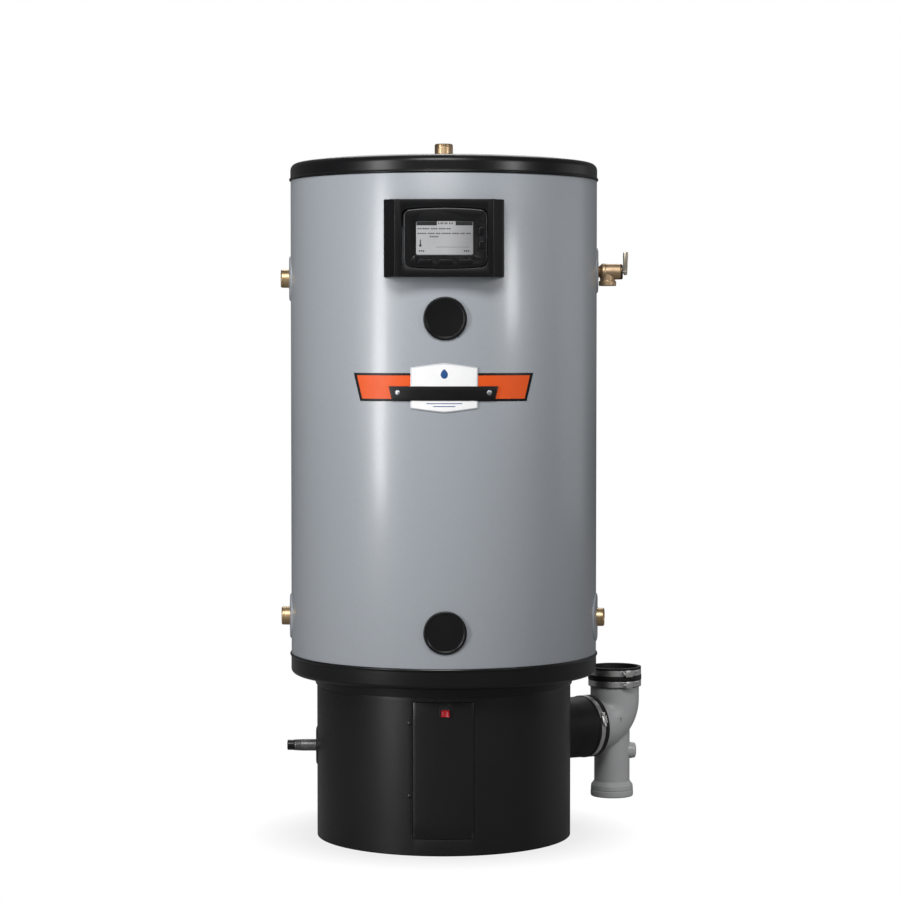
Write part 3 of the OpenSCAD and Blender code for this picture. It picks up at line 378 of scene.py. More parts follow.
def steps(a, b, count):
    return [a + (b - a) * i / count for i in range(count + 1)]


# ------------------------------------------------------------------ materials

class Surface:
    """Procedural material, built up from small steps."""

    def __init__(self, name, color, roughness, metallic=0.0, **sockets):
        self.material = bpy.data.materials.new(name)
        self.material.use_nodes = True
        self.tree = self.material.node_tree
        self.shader = self.tree.nodes["Principled BSDF"]
        self.color = None
        self.rough = None
        self.height = None
        self.shader.inputs["Base Color"].default_value = (*color, 1)
        self.shader.inputs["Roughness"].default_value = roughness
        self.shader.inputs["Metallic"].default_value = metallic
        for socket, value in sockets.items():
            self.shader.inputs[socket.replace("_", " ")].default_value = value
        self.base = color
        self.base_rough = roughness
        self.coords = self.tree.nodes.new("ShaderNodeTexCoord").outputs["Object"]

    def node(self, kind, **inputs):
        made = self.tree.nodes.new(kind)
        for key, value in inputs.items():
            socket = made.inputs[key.replace("_", " ")]
            if isinstance(value, bpy.types.NodeSocket):
                self.tree.links.new(value, socket)
            else:
                socket.default_value = value
        return made

    def noise(self, scale, detail=3.0, roughness=0.55, stretch=(1, 1, 1)):
        place = self.node("ShaderNodeMapping", Vector=self.coords, Scale=stretch)
        made = self.node("ShaderNodeTexNoise", Vector=place.outputs[0], Scale=scale, Detail=detail,
            Roughness=roughness)
        return made.outputs["Fac"]

    def cells(self, scale, stretch=(1, 1, 1)):
        place = self.node("ShaderNodeMapping", Vector=self.coords, Scale=stretch)
        made = self.node("ShaderNodeTexVoronoi", Vector=place.outputs[0], Scale=scale)
        return made.outputs["Distance"]

    def remap(self, value, low, high, to_low, to_high):
        made = self.tree.nodes.new("ShaderNodeMapRange")
        for key, number in (("From Min", low), ("From Max", high), ("To Min", to_low), ("To Max", to_high)):
            made.inputs[key].default_value = number
        self.tree.links.new(value, made.inputs["Value"])
        return made.outputs["Result"]

    def math(self, operation, a, b):
        made = self.tree.nodes.new("ShaderNodeMath")
        made.operation = operation
        for i, value in enumerate((a, b)):
            if isinstance(value, bpy.types.NodeSocket):
                self.tree.links.new(value, made.inputs[i])
            else:
                made.inputs[i].default_value = value
        return made.outputs[0]

    def tint(self, mask, color):
        """Mixes a colour in where the mask is 1."""
        mix = self.tree.nodes.new("ShaderNodeMix")
        mix.data_type = "RGBA"
        self.tree.links.new(mask, mix.inputs["Factor"])
        if self.color is None:
            mix.inputs[6].default_value = (*self.base, 1)
        else:
            self.tree.links.new(self.color, mix.inputs[6])
        mix.inputs[7].default_value = (*color, 1)
        self.color = mix.outputs[2]
        return self

    def roughen(self, value, spread):
        """Adds a value around 0.5 to the roughness."""
        change = self.remap(value, 0.2, 0.8, -spread, spread)
        self.rough = self.math("ADD", self.rough if self.rough is not None else self.base_rough, change)
        return self

    def raise_by(self, value, millimetres):
        """Adds to the height, in millimetres for a value from 0 to 1."""
        lift = self.math("MULTIPLY", value, millimetres)
        self.height = lift if self.height is None else self.math("ADD", self.height, lift)
        return self

    def top_dust(self, amount, color=(0.55, 0.54, 0.52)):
        """Fine dust on faces that look up."""
        normal = self.tree.nodes.new("ShaderNodeNewGeometry").outputs["Normal"]
        split = self.node("ShaderNodeSeparateXYZ", Vector=normal).outputs["Z"]
        facing = self.remap(split, 0.5, 1.0, 0.0, amount)
        patchy = self.remap(self.noise(14, 5), 0.35, 0.75, 0.1, 1.0)
        return self.tint(self.math("MULTIPLY", facing, patchy), color)

    def worn_edges(self, amount, color):
        """Paler metal or plastic where an edge is rubbed."""
        point = self.tree.nodes.new("ShaderNodeNewGeometry").outputs["Pointiness"]
        edge = self.remap(point, 0.53, 0.62, 0.0, amount)
        patchy = self.remap(self.noise(160, 4), 0.4, 0.62, 0.0, 1.0)
        return self.tint(self.math("MULTIPLY", edge, patchy), color)

    def done(self):
        if self.color is not None:
            self.tree.links.new(self.color, self.shader.inputs["Base Color"])
        if self.rough is not None:
            clamp = self.tree.nodes.new("ShaderNodeClamp")
            clamp.inputs["Min"].default_value = 0.04
            self.tree.links.new(self.rough, clamp.inputs["Value"])
            self.tree.links.new(clamp.outputs[0], self.shader.inputs["Roughness"])
        if self.height is not None:
            bump = self.tree.nodes.new("ShaderNodeBump")
            bump.inputs["Distance"].default_value = MM
            bump.inputs["Strength"].default_value = 1.0
            self.tree.links.new(self.height, bump.inputs["Height"])
            self.tree.links.new(bump.outputs[0], self.shader.inputs["Normal"])
        return self.material


def jacket_paint():
    """Satin grey powder coat with a fine orange peel."""
    s = Surface("jacket_paint", (0.264, 0.283, 0.307), 0.36, 0.0, Coat_Weight=0.3, Coat_Roughness=0.18)
    s.tint(s.remap(s.noise(3.0, 3), 0.35, 0.7, 0.0, 0.25), (0.238, 0.26, 0.287))
    s.tint(s.remap(s.noise(900, 2), 0.55, 0.75, 0.0, 0.35), (0.32, 0.335, 0.355))
    s.roughen(s.noise(6, 4), 0.04)
    s.roughen(s.noise(90, 3), 0.03)
    s.raise_by(s.noise(420, 2), 0.035)
    s.raise_by(s.noise(9, 2), 0.35)
    return s.worn_edges(0.25, (0.5, 0.51, 0.53)).done()


def black_plastic(name, color=(0.0035, 0.0035, 0.004), rough=0.31, grain=0.03):
    """Moulded black plastic with a fine spark grain and faint flow marks."""
    s = Surface(name, color, rough, 0.0, Specular_IOR_Level=0.28)
    s.tint(s.remap(s.noise(7, 4), 0.4, 0.75, 0.0, 0.4), tuple(c * 1.8 for c in color))
    s.tint(s.remap(s.noise(1100, 2), 0.6, 0.8, 0.0, 0.3), tuple(c * 2.6 for c in color))
    s.roughen(s.noise(11, 4), 0.05)
    s.raise_by(s.noise(1500, 2), grain)
    s.top_dust(0.05)
    return s.worn_edges(0.3, tuple(c * 4 + 0.02 for c in color)).done()


def black_steel():
    """Semi-gloss black powder coat on sheet steel."""
    s = Surface("black_steel", (0.004, 0.004, 0.0045), 0.38, 0.0, Specular_IOR_Level=0.3)
    s.tint(s.remap(s.noise(5, 4), 0.4, 0.75, 0.0, 0.35), (0.007, 0.007, 0.0075))
    s.tint(s.remap(s.noise(700, 2), 0.6, 0.78, 0.0, 0.4), (0.015, 0.015, 0.016))
    s.roughen(s.noise(5, 5), 0.05)
    s.raise_by(s.noise(380, 2), 0.05)
    s.raise_by(s.noise(7, 2), 0.5)
    return s.worn_edges(0.5, (0.09, 0.09, 0.095)).done()


def metal(name, color, rough, streak=(1, 1, 1), streak_mm=0.01, stain=None, metallic=1.0, cast_mm=0.0):
    """Bare or plated metal with tool marks along one direction, stains and bright edges."""
    s = Surface(name, color, rough, metallic)
    marks = s.noise(60, 4, 0.6, streak)
    s.tint(s.remap(marks, 0.3, 0.75, 0.0, 0.35), tuple(c * 0.75 for c in color))
    if stain:
        s.tint(s.remap(s.noise(45, 5, 0.6), 0.5, 0.72, 0.0, 0.75), stain)
    s.roughen(marks, 0.08)
    s.roughen(s.noise(35, 4), 0.05)
    s.raise_by(marks, streak_mm)
    if cast_mm:
        s.raise_by(s.noise(500, 3), cast_mm)
    return s.worn_edges(0.5, tuple(min(1, c * 1.25) for c in color)).done()


def rubber(name, color=(0.004, 0.004, 0.004), rough=0.5):
    """Moulded rubber, dull, with a light bloom."""
    s = Surface(name, color, rough, 0.0, Specular_IOR_Level=0.3)
    s.tint(s.remap(s.noise(18, 5), 0.45, 0.75, 0.0, 0.6), (0.008, 0.008, 0.0085))
    s.roughen(s.noise(30, 4), 0.07)
    s.raise_by(s.noise(900, 3), 0.03)
    return s.top_dust(0.1).worn_edges(0.35, (0.06, 0.06, 0.06)).done()


def vent_plastic():
    """Grey moulded vent pipe plastic."""
    s = Surface("vent_plastic", (0.39, 0.393, 0.396), 0.4)
    s.tint(s.remap(s.noise(22, 5), 0.4, 0.75, 0.0, 0.35), (0.34, 0.344, 0.35))
    s.tint(s.remap(s.noise(1200, 2), 0.6, 0.8, 0.0, 0.5), (0.48, 0.48, 0.485))
    s.roughen(s.noise(26, 5), 0.06)
    s.raise_by(s.noise(650, 3), 0.05)
    s.raise_by(s.noise(60, 3), 0.12)
    return s.top_dust(0.08).worn_edges(0.4, (0.55, 0.55, 0.555)).done()


def screen_glass():
    """Grey liquid-crystal panel, a little lit from behind, with painted shade that darkens it towards its right
    side.
    """
    s = Surface("screen", (0.33, 0.333, 0.338), 0.25, 0.0, Coat_Weight=0.3, Coat_Roughness=0.1)
    s.shader.inputs["Emission Color"].default_value = (0.80, 0.81, 0.83, 1)
    s.shader.inputs["Emission Strength"].default_value = 0.06
    # Painted shade: the next tint darkens the panel's colour steadily towards its right side.
    across = s.node("ShaderNodeSeparateXYZ", Vector=s.coords).outputs["X"]
    s.tint(s.remap(across, 0.005, 0.05, 0.0, 0.9), (0.12, 0.12, 0.12))
    s.tint(s.remap(s.noise(30, 3), 0.35, 0.7, 0.0, 0.35), (0.24, 0.243, 0.248))
    s.tint(s.remap(s.cells(2600), 0.3, 0.6, 0.0, 0.12), (0.22, 0.222, 0.225))
    s.roughen(s.noise(90, 2), 0.03)
    return s.done()


def printed(name, color, rough=0.3, fleck=0.8):
    """Screen-printed ink over lacquer."""
    s = Surface(name, color, rough + 0.1, 0.0, Specular_IOR_Level=0.2)
    s.tint(s.remap(s.noise(25, 4), 0.4, 0.75, 0.0, 0.3), tuple(c * 0.85 for c in color))
    s.tint(s.remap(s.noise(1400, 2), 0.6, 0.8, 0.0, 0.4),
        tuple(min(1, c * (1 + fleck * 0.4) + 0.01) for c in color))
    s.roughen(s.noise(60, 3), 0.05)
    s.raise_by(s.noise(1200, 2), 0.008)
    return s.worn_edges(0.3, tuple(min(1, c * 1.6 + 0.02) for c in color)).done()


def foam():
    s = Surface("foam", (0.62, 0.50, 0.24), 0.9)
    s.tint(s.remap(s.cells(500), 0.1, 0.6, 0.0, 0.7), (0.45, 0.33, 0.12))
    s.raise_by(s.cells(450), 0.6)
    return s.done()


def board_green():
    s = Surface("board", (0.015, 0.12, 0.05), 0.3, 0.0, Coat_Weight=0.4)
    s.tint(s.remap(s.noise(350, 1, 0.5, (1, 1, 6)), 0.52, 0.56, 0.0, 0.8), (0.03, 0.2, 0.08))
    s.raise_by(s.noise(350, 1), 0.03)
    return s.done()


ROUND_X = (18, 1, 1)
ROUND_Z = (1, 1, 18)
SKINS = {
    "jacket_paint": jacket_paint(),
    "black_plastic": black_plastic("cap_plastic"),
    "black_steel": black_steel(),
    "zinc_steel": metal("zinc", (0.42, 0.43, 0.45), 0.34, (1, 1, 1), 0.01, (0.35, 0.36, 0.38)),
    "galvanised": metal("galvanised", (0.45, 0.46, 0.47), 0.42, (1, 1, 1), 0.01, (0.35, 0.37, 0.39)),
    "foam": foam(),
    "enamel": metal("enamel", (0.02, 0.045, 0.11), 0.25, (1, 1, 1), 0.02, (0.03, 0.06, 0.13), 0.0, 0.03),
    "stainless": metal("stainless", (0.62, 0.62, 0.61), 0.38, ROUND_Z, 0.012, (0.5, 0.49, 0.47)),
    "magnesium": metal("magnesium", (0.5, 0.5, 0.51), 0.5, ROUND_Z, 0.02, (0.38, 0.38, 0.38)),
    "brass": metal("brass", (0.50, 0.36, 0.21), 0.4, ROUND_X, 0.012, (0.34, 0.24, 0.14)),
    "dark_brass": metal("dark_brass", (0.10, 0.07, 0.035), 0.42, ROUND_X, 0.015, (0.05, 0.035, 0.02)),
    "gloss_black": black_plastic("display_plastic", (0.004, 0.004, 0.0045), 0.3, 0.012),
    "lcd": screen_glass(),
    "circuit_board": board_green(),
    "orange_print": printed("orange_print", (0.63, 0.078, 0.010)),
    "silver_plate": metal("silver_plate", (0.50, 0.51, 0.53), 0.38, (1, 1, 14), 0.006, None, 0.35),
    "ceramic": printed("ceramic", (0.75, 0.72, 0.62), 0.25),
    "dark_pipe": metal("dark_pipe", (0.13, 0.13, 0.132), 0.42, ROUND_X, 0.02, (0.06, 0.05, 0.045), 0.6, 0.02),
    "cast_aluminium": metal("cast_aluminium", (0.45, 0.45, 0.46), 0.45, (1, 1, 1), 0.01, (0.35, 0.35, 0.36),
                            1.0, 0.05),
    "red_plastic": printed("red_plastic", (0.30, 0.010, 0.016), 0.2),
    "rubber": rubber("rubber"),
    "vent_plastic": vent_plastic(),
    "spring_steel": metal("spring_steel", (0.2, 0.2, 0.21), 0.35, (1, 1, 1), 0.01),
    "lever_steel": metal("lever_steel", (0.40, 0.36, 0.29), 0.38, (1, 1, 1), 0.01, (0.28, 0.25, 0.2)),
}
BRASS_CAST = metal("brass_cast", (0.48, 0.35, 0.22), 0.5, (1, 1, 1), 0.01, (0.34, 0.24, 0.15), 1.0, 0.05)
BRASS_UP = metal("brass_up", (0.45, 0.32, 0.19), 0.4, ROUND_Z, 0.012, (0.30, 0.21, 0.13))
LINER = printed("nipple_liner", (0.55, 0.52, 0.46), 0.5)
BLACK_INK = printed("black_ink", (0.004, 0.004, 0.0045), 0.3)
WHITE_INK = printed("white_ink", (0.72, 0.72, 0.722), 0.4)
BLUE_INK = printed("blue_ink", (0.02, 0.07, 0.20), 0.3)
SCREEN_INK = printed("screen_ink", (0.018, 0.019, 0.02), 0.35)
# Lighter red for the two stripes on the rocker face; it uses the printed recipe for its grain only.
SWITCH_STRIPE_COLOUR = printed("rocker_stripe_tone", (0.34, 0.13, 0.13), 0.35)

for row in frame["record"]["subparts"]:
    node = frame["nodes"][row["node"]]
    node.data.materials.clear()
    node.data.materials.append(SKINS[row["material_slot"]])


def show(piece, body, node, slot, *more):
    """Puts a finished piece in place of a CAD node, or of several."""
    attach(piece, body)
    if node:
        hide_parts(node, *more)
    return piece


# ------------------------------------------------------------------ jacket, caps and skirt

def make_jacket():
    paint = SKINS["jacket_paint"]
    low, high = JACKET_Z
    t = 1.2 * MM
    profile = rounded([(JACKET_R, low, 0.3), (JACKET_R, high, 0.3), (JACKET_R - t, high, 0.3),
        (JACKET_R - t, low, 0.3)], steps=2)
    shell = lathe("shell", profile, [paint], 288)
    section = [(-7, 0), (-4.9, 1), (4.2, 1), (7, 0.15), (7, -0.5), (4.2, -0.5), (-4.9, -0.5), (-7, -0.5)]
    seam = sheet_strip("seam", section, low + 6 * MM, high - 6 * MM, JACKET_R, JACKET_SEAM_AZ, paint)
    show(join("jacket_shell", [shell, seam]), "heater", "jacket", "jacket_paint")


def make_caps():
    black = SKINS["black_plastic"]
    wall = JACKET_R + 0.4 * MM
    bead = CAP_BEAD_R
    lip = JACKET_R - 1.4 * MM
    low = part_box("top_cap")[0].z
    foot = JACKET_Z[1]
    nipple_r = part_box("hot_outlet_nipple")[1].x
    dome = [(wall * f, CAP_TOP - 4.2 * MM * f ** 9 - 0.1 * MM) for f in (0.90, 0.86, 0.8, 0.7, 0.5, 0.2)]
    outside = rounded([(lip - 3 * MM, low, 0.5), (lip, low, 0.6), (lip, foot + 0.2 * MM, 0),
        (bead - 1.2 * MM, foot + 0.2 * MM, 1.0), (bead, foot + 2.6 * MM, 1.5),
        (bead - 1.2 * MM, foot + 5.2 * MM, 1.0), (wall, foot + 5.4 * MM, 1.0),
        (wall, CAP_TOP - 5.2 * MM, 12)] + [(r, z, 0) for r, z in dome] + [(nipple_r + 6 * MM, CAP_TOP, 0.8),
        (nipple_r + 5 * MM, CAP_TOP + 1.2 * MM, 0.8), (nipple_r + 1 * MM, CAP_TOP + 1.2 * MM, 0.8),
        (nipple_r + 0.6 * MM, CAP_TOP - 3 * MM, 0.4)] + [(r, z - 3 * MM, 0) for r,
        z in reversed(dome)] + [(wall * 0.955, CAP_TOP - 8 * MM, 0), (lip - 3 * MM, CAP_TOP - 18 * MM, 0)],
        steps=6)
    show(lathe("top_cap_moulding", outside, [black], 288), "heater", "top_cap", "black_plastic")
    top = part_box("bottom_cap")[1].z
    foot = JACKET_Z[0]
    under = SKIRT_TOP
    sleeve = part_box("bottom_cap")[0].z
    inner = SKIRT_R + 0.3 * MM
    profile = rounded([(inner, sleeve, 0.3), (inner + 2.6 * MM, sleeve, 1.0), (inner + 3 * MM, under, 2.0),
        (wall, under, 8), (wall, foot - 5.4 * MM, 1.0), (bead - 1.2 * MM, foot - 5.2 * MM, 1.0),
        (bead, foot - 2.6 * MM, 1.5), (bead - 1.2 * MM, foot - 0.2 * MM, 1.0), (lip, foot - 0.2 * MM, 0),
        (lip, top, 0.6), (lip - 3 * MM, top, 0.5), (lip - 3 * MM, under + 8 * MM, 2),
        (wall - 9 * MM, under + 3 * MM, 2), (inner, under + 3 * MM, 0.3)], steps=5)
    show(lathe("bottom_cap_moulding", profile, [black], 288), "heater", "bottom_cap", "black_plastic")


def make_skirt():
    steel = SKINS["black_steel"]
    half = (PANEL_HIGH.x + 0.55 * MM) / SKIRT_R
    window = math.degrees(math.asin(half))
    z0, z1 = PANEL_LOW.z - 0.5 * MM, PANEL_HIGH.z + 0.5 * MM
    around = steps(FRONT + window, FRONT + 360 - window, 180)
    front = steps(FRONT - window, FRONT + window, 16)
    azimuths = front[:-1] + around
    heights = [0.0, 2 * MM, z0] + steps(z0, z1, 8)[1:] + [SKIRT_TOP]

    def keep(az, z):
        return not (z0 < z < z1 and az < FRONT + window)

    skirt = shell_grid("skirt_wrap", SKIRT_R, 1.5 * MM, azimuths, heights, keep, [steel], 0.35 * MM)
    intake, bushing = middle("air_intake"), middle("cable_bushing")
    openings = [(VENT_AZ, VENT_Z, 47.6), (LEFT, mount("gas_inlet")[0].z, 11.2),
        (math.degrees(math.atan2(intake.y, intake.x)), intake.z, 26),
        (math.degrees(math.atan2(bushing.y, bushing.x)), bushing.z, 11)]
    for azimuth, z, r in openings:
        drill = lathe("drill", [(0, 0.15), (r * MM, 0.15), (r * MM, 0.3), (0, 0.3)], [steel], 64,
            closed=False)
        cut(skirt, put(drill, outward(azimuth, z)))
    section = [(-8, -0.6), (-8, 0.9), (7, 0.9), (8, 0.1), (8, -0.6)]
    lap = sheet_strip("lap", section, 1 * MM, SKIRT_TOP - 22 * MM, SKIRT_R, SKIRT_SEAM_AZ, steel)
    spots = [put(lathe("weld", mm([(0, 0.3), (2.6, 0.15), (3.2, -0.3), (0, -0.3)]), [steel], 24,
        closed=False), outward(SKIRT_SEAM_AZ, z, SKIRT_R + 1 * MM)) for z in steps(0.03, SKIRT_TOP - 0.05,
        6)]
    show(join("skirt_wrap_body", [skirt, lap] + spots), "heater", "skirt", "black_steel")
    gap = 0.75 * MM / SKIRT_R
    inner = window - math.degrees(gap)
    panel = shell_grid("panel", SKIRT_R, 1.5 * MM, steps(FRONT - inner, FRONT + inner, 20),
        steps(z0 + 0.8 * MM, z1 - 0.8 * MM, 8), lambda az, z: True, [steel], 0.5 * MM)
    switch = middle("switch_housing")
    slot = plate("slot", round_rect(20 * MM, 14 * MM, 1), -20 * MM, 20 * MM, 0.1 * MM, [steel])
    put(slot, facing_front(switch.x, -SKIRT_R, switch.z))
    cut(panel, slot)
    section = [(-68, -3.2), (-68, -1.8), (-40, -1.6), (-40, -3.2)]
    back_tabs = [sheet_strip("tab", section, z - 9 * MM, z + 9 * MM, SKIRT_R, FRONT,
        steel) for z in TAB_HEIGHTS]
    show(join("access_door", [panel] + back_tabs), "heater", "access_panel", "black_steel")


def make_screws():
    black = SKINS["black_steel"]
    low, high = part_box("panel_screws")
    az = FRONT - math.degrees(math.asin(abs(low.x + high.x) / 2 / SKIRT_R))
    screws = []
    for z in (low.z + 4 * MM, high.z - 4 * MM):
        head = turned("head", mm([(0, -8, 0), (1.8, -8, 0.3), (1.8, 0, 0), (4, 0, 0.3), (3.9, 1.2, 0.8),
            (0, 2, 0)]), [black], 32, closed=False)
        for a in (0, 90):
            tool = box_piece("cross", (-2.1 * MM, -0.4 * MM, 0.8 * MM), (2.1 * MM, 0.4 * MM, 4 * MM),
                0.05 * MM, [black], 1)
            put(tool, Matrix.Rotation(math.radians(a + 20), 4, "Z"))
            cut(head, tool)
        screws.append(put(head, outward(az, z, SKIRT_R + 0.1 * MM)))
    show(join("door_screws", screws), "heater", "panel_screws", "zinc_steel")


# ------------------------------------------------------------------ rosettes, plugs and nipples

def rosette(name, azimuth, height, shell_r, hole_r, outer_r, rise, materials):
    """Domed ring that lies on a round shell around a pipe."""
    rows = [(outer_r, 0.1 * MM), (outer_r, 0.5 * MM)]
    for k in range(1, 6):
        a = math.pi / 2 * k / 5
        rows.append((outer_r - 0.30 * (outer_r - hole_r) * (1 - math.cos(a)),
            0.5 * MM + (rise - 0.5 * MM) * math.sin(a)))
    rows += [(hole_r + 2.5 * MM, rise), (hole_r + 0.8 * MM, rise + 0.35 * MM), (hole_r, rise),
        (hole_r, 0.1 * MM)]
    count = 96
    rings = []
    for r, h in rows:
        ring = []
        for k in range(count):
            t = 2 * math.pi * k / count
            side = math.asin(r * math.cos(t) / shell_r)
            ring.append(on_jacket(side * shell_r, height + r * math.sin(t), h, shell_r, azimuth))
        rings.append(ring)
    rings.append(rings[0])
    return ring_stack(name, rings, materials, False, False)


SIDE_PORTS = ["upper_left_port", "lower_left_port", "lower_right_port"]


def make_rosettes():
    paint = SKINS["jacket_paint"]
    rings = []
    for name in SIDE_PORTS:
        at, r = mount(name)
        az = math.degrees(math.atan2(at.y, at.x))
        outer = 44 * MM if at.x > 0 else 41 * MM
        rings.append(rosette("ring", az, at.z, JACKET_R, r + 0.5 * MM, outer, 3.0 * MM, [paint]))
    rings.append(rosette("ring", RIGHT, RELIEF_Z + 2 * MM, JACKET_R, 16 * MM, 41.5 * MM, 3.0 * MM, [paint]))
    show(join("pipe_rosettes", rings), "heater", "pipe_escutcheons", "jacket_paint")
    gas, gas_r = mount("gas_inlet")
    low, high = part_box("gas_escutcheon")
    ring = rosette("gas_rosette", LEFT, gas.z, SKIRT_R, gas_r + 0.4 * MM, (high.z - low.z) / 2, 2.4 * MM,
        [SKINS["black_plastic"]])
    show(ring, "heater", "gas_escutcheon", "black_plastic")


def make_plugs():
    black = SKINS["black_plastic"]
    low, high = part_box("access_plugs")
    r = (high.x - low.x) / 2
    face = 4.2 * MM
    azimuth = FRONT + math.degrees(math.asin((low.x + high.x) / 2 / JACKET_R))
    plugs = []
    for z in (low.z + r, high.z - r):
        profile = rounded([(0, -6 * MM, 0), (r - 4 * MM, -6 * MM, 0.5), (r - 0.2 * MM, -6 * MM, 0),
            (r, face - 0.3 * MM, 2.4), (r - 4.2 * MM, face, 1.2), (r - 6 * MM, face - 1.3 * MM, 1.0),
            (0, face - 1.0 * MM, 0)], closed=False, steps=5)
        plug = lathe("plug", profile, [black], 128, closed=False)
        plugs.append(put(plug, outward(azimuth, z, JACKET_R)))
    show(join("plug_covers", plugs), "heater", "access_plugs", "black_plastic")


def nipple_piece(name, start, end, radius, skin):
    """Pipe stub along +Z with a bevelled, machined end and a plastic liner."""
    bore = radius - 3.4 * MM
    profile = rounded([(radius, start, 0), (radius, end - 5.2 * MM, 0.15),
        (radius - 0.45 * MM, end - 4.9 * MM, 0.15), (radius - 0.45 * MM, end - 4.3 * MM, 0.15),
        (radius, end - 4.0 * MM, 0.15), (radius, end - 2.2 * MM, 0.4), (radius - 1.6 * MM, end, 0.4),
        (bore, end, 0.5), (bore, start, 0)], steps=3)
    pipe = lathe(name, profile, [skin], 96)
    liner = turned("liner", [(bore - 0.1 * MM, start, 0), (bore - 0.1 * MM, end - 3 * MM, 0.2),
        (bore - 1.6 * MM, end - 3.2 * MM, 0.4), (bore - 1.6 * MM, start, 0)], [LINER], 64)
    return join(name, [pipe, liner])


def make_nipples():
    low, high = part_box("hot_outlet_nipple")
    top = nipple_piece("hot_outlet_stub", low.z, high.z, high.x, BRASS_UP)
    show(top, "heater", "hot_outlet_nipple", "brass")
    stubs = []
    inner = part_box("tank_vessel")[1].x - 12 * MM
    for name in SIDE_PORTS:
        at, r = mount(name)
        az = math.degrees(math.atan2(at.y, at.x))
        end = JACKET_R + (15.5 if at.x > 0 else 18) * MM
        stubs.append(put(nipple_piece("stub", inner, end, r, SKINS["brass"]), outward(az, at.z)))
    show(join("side_stubs", stubs), "heater", "side_nipples", "brass")


# ------------------------------------------------------------------ nameplate

def wrapped_patch(name, us, vs, u_at, v_at, low, high, materials, pick=None, edge=0.25 * MM):
    """Thin plate bent onto the jacket; u_at(s, t) and v_at(s, t) place the grid of us and vs."""
    n, m = len(us), len(vs)
    verts = [on_jacket(u_at(s, t), v_at(s, t), h, JACKET_R) for h in (high, low) for t in vs for s in us]
    faces, picks = [], []
    layer = n * m
    for j in range(m - 1):
        for i in range(n - 1):
            a = j * n + i
            index = pick((us[i] + us[i + 1]) / 2, (vs[j] + vs[j + 1]) / 2) if pick else 0
            faces.append((a, a + 1, a + n + 1, a + n))
            faces.append((layer + a, layer + a + n, layer + a + n + 1, layer + a + 1))
            picks += [index, index]
    rim = [i for i in range(n)] + [j * n + n - 1 for j in range(1, m)]
    rim += [(m - 1) * n + i for i in range(n - 2, -1, -1)] + [j * n for j in range(m - 2, 0, -1)]
    for k, a in enumerate(rim):
        b = rim[(k + 1) % len(rim)]
        faces.append((a, layer + a, layer + b, b))
        picks.append(pick(0, 0) if pick else 0)
    mesh = bpy.data.meshes.new(name)
    mesh.from_pydata(verts, [], faces)
    mesh.polygons.foreach_set("material_index", picks)
    tidy = bmesh.new()
    tidy.from_mesh(mesh)
    bmesh.ops.recalc_face_normals(tidy, faces=tidy.faces)
    tidy.to_mesh(mesh)
    tidy.free()
    return bevelled(new_object(name, mesh, materials), edge, 2, 50)


def mix(a, b, t):
    return a + (b - a) * t


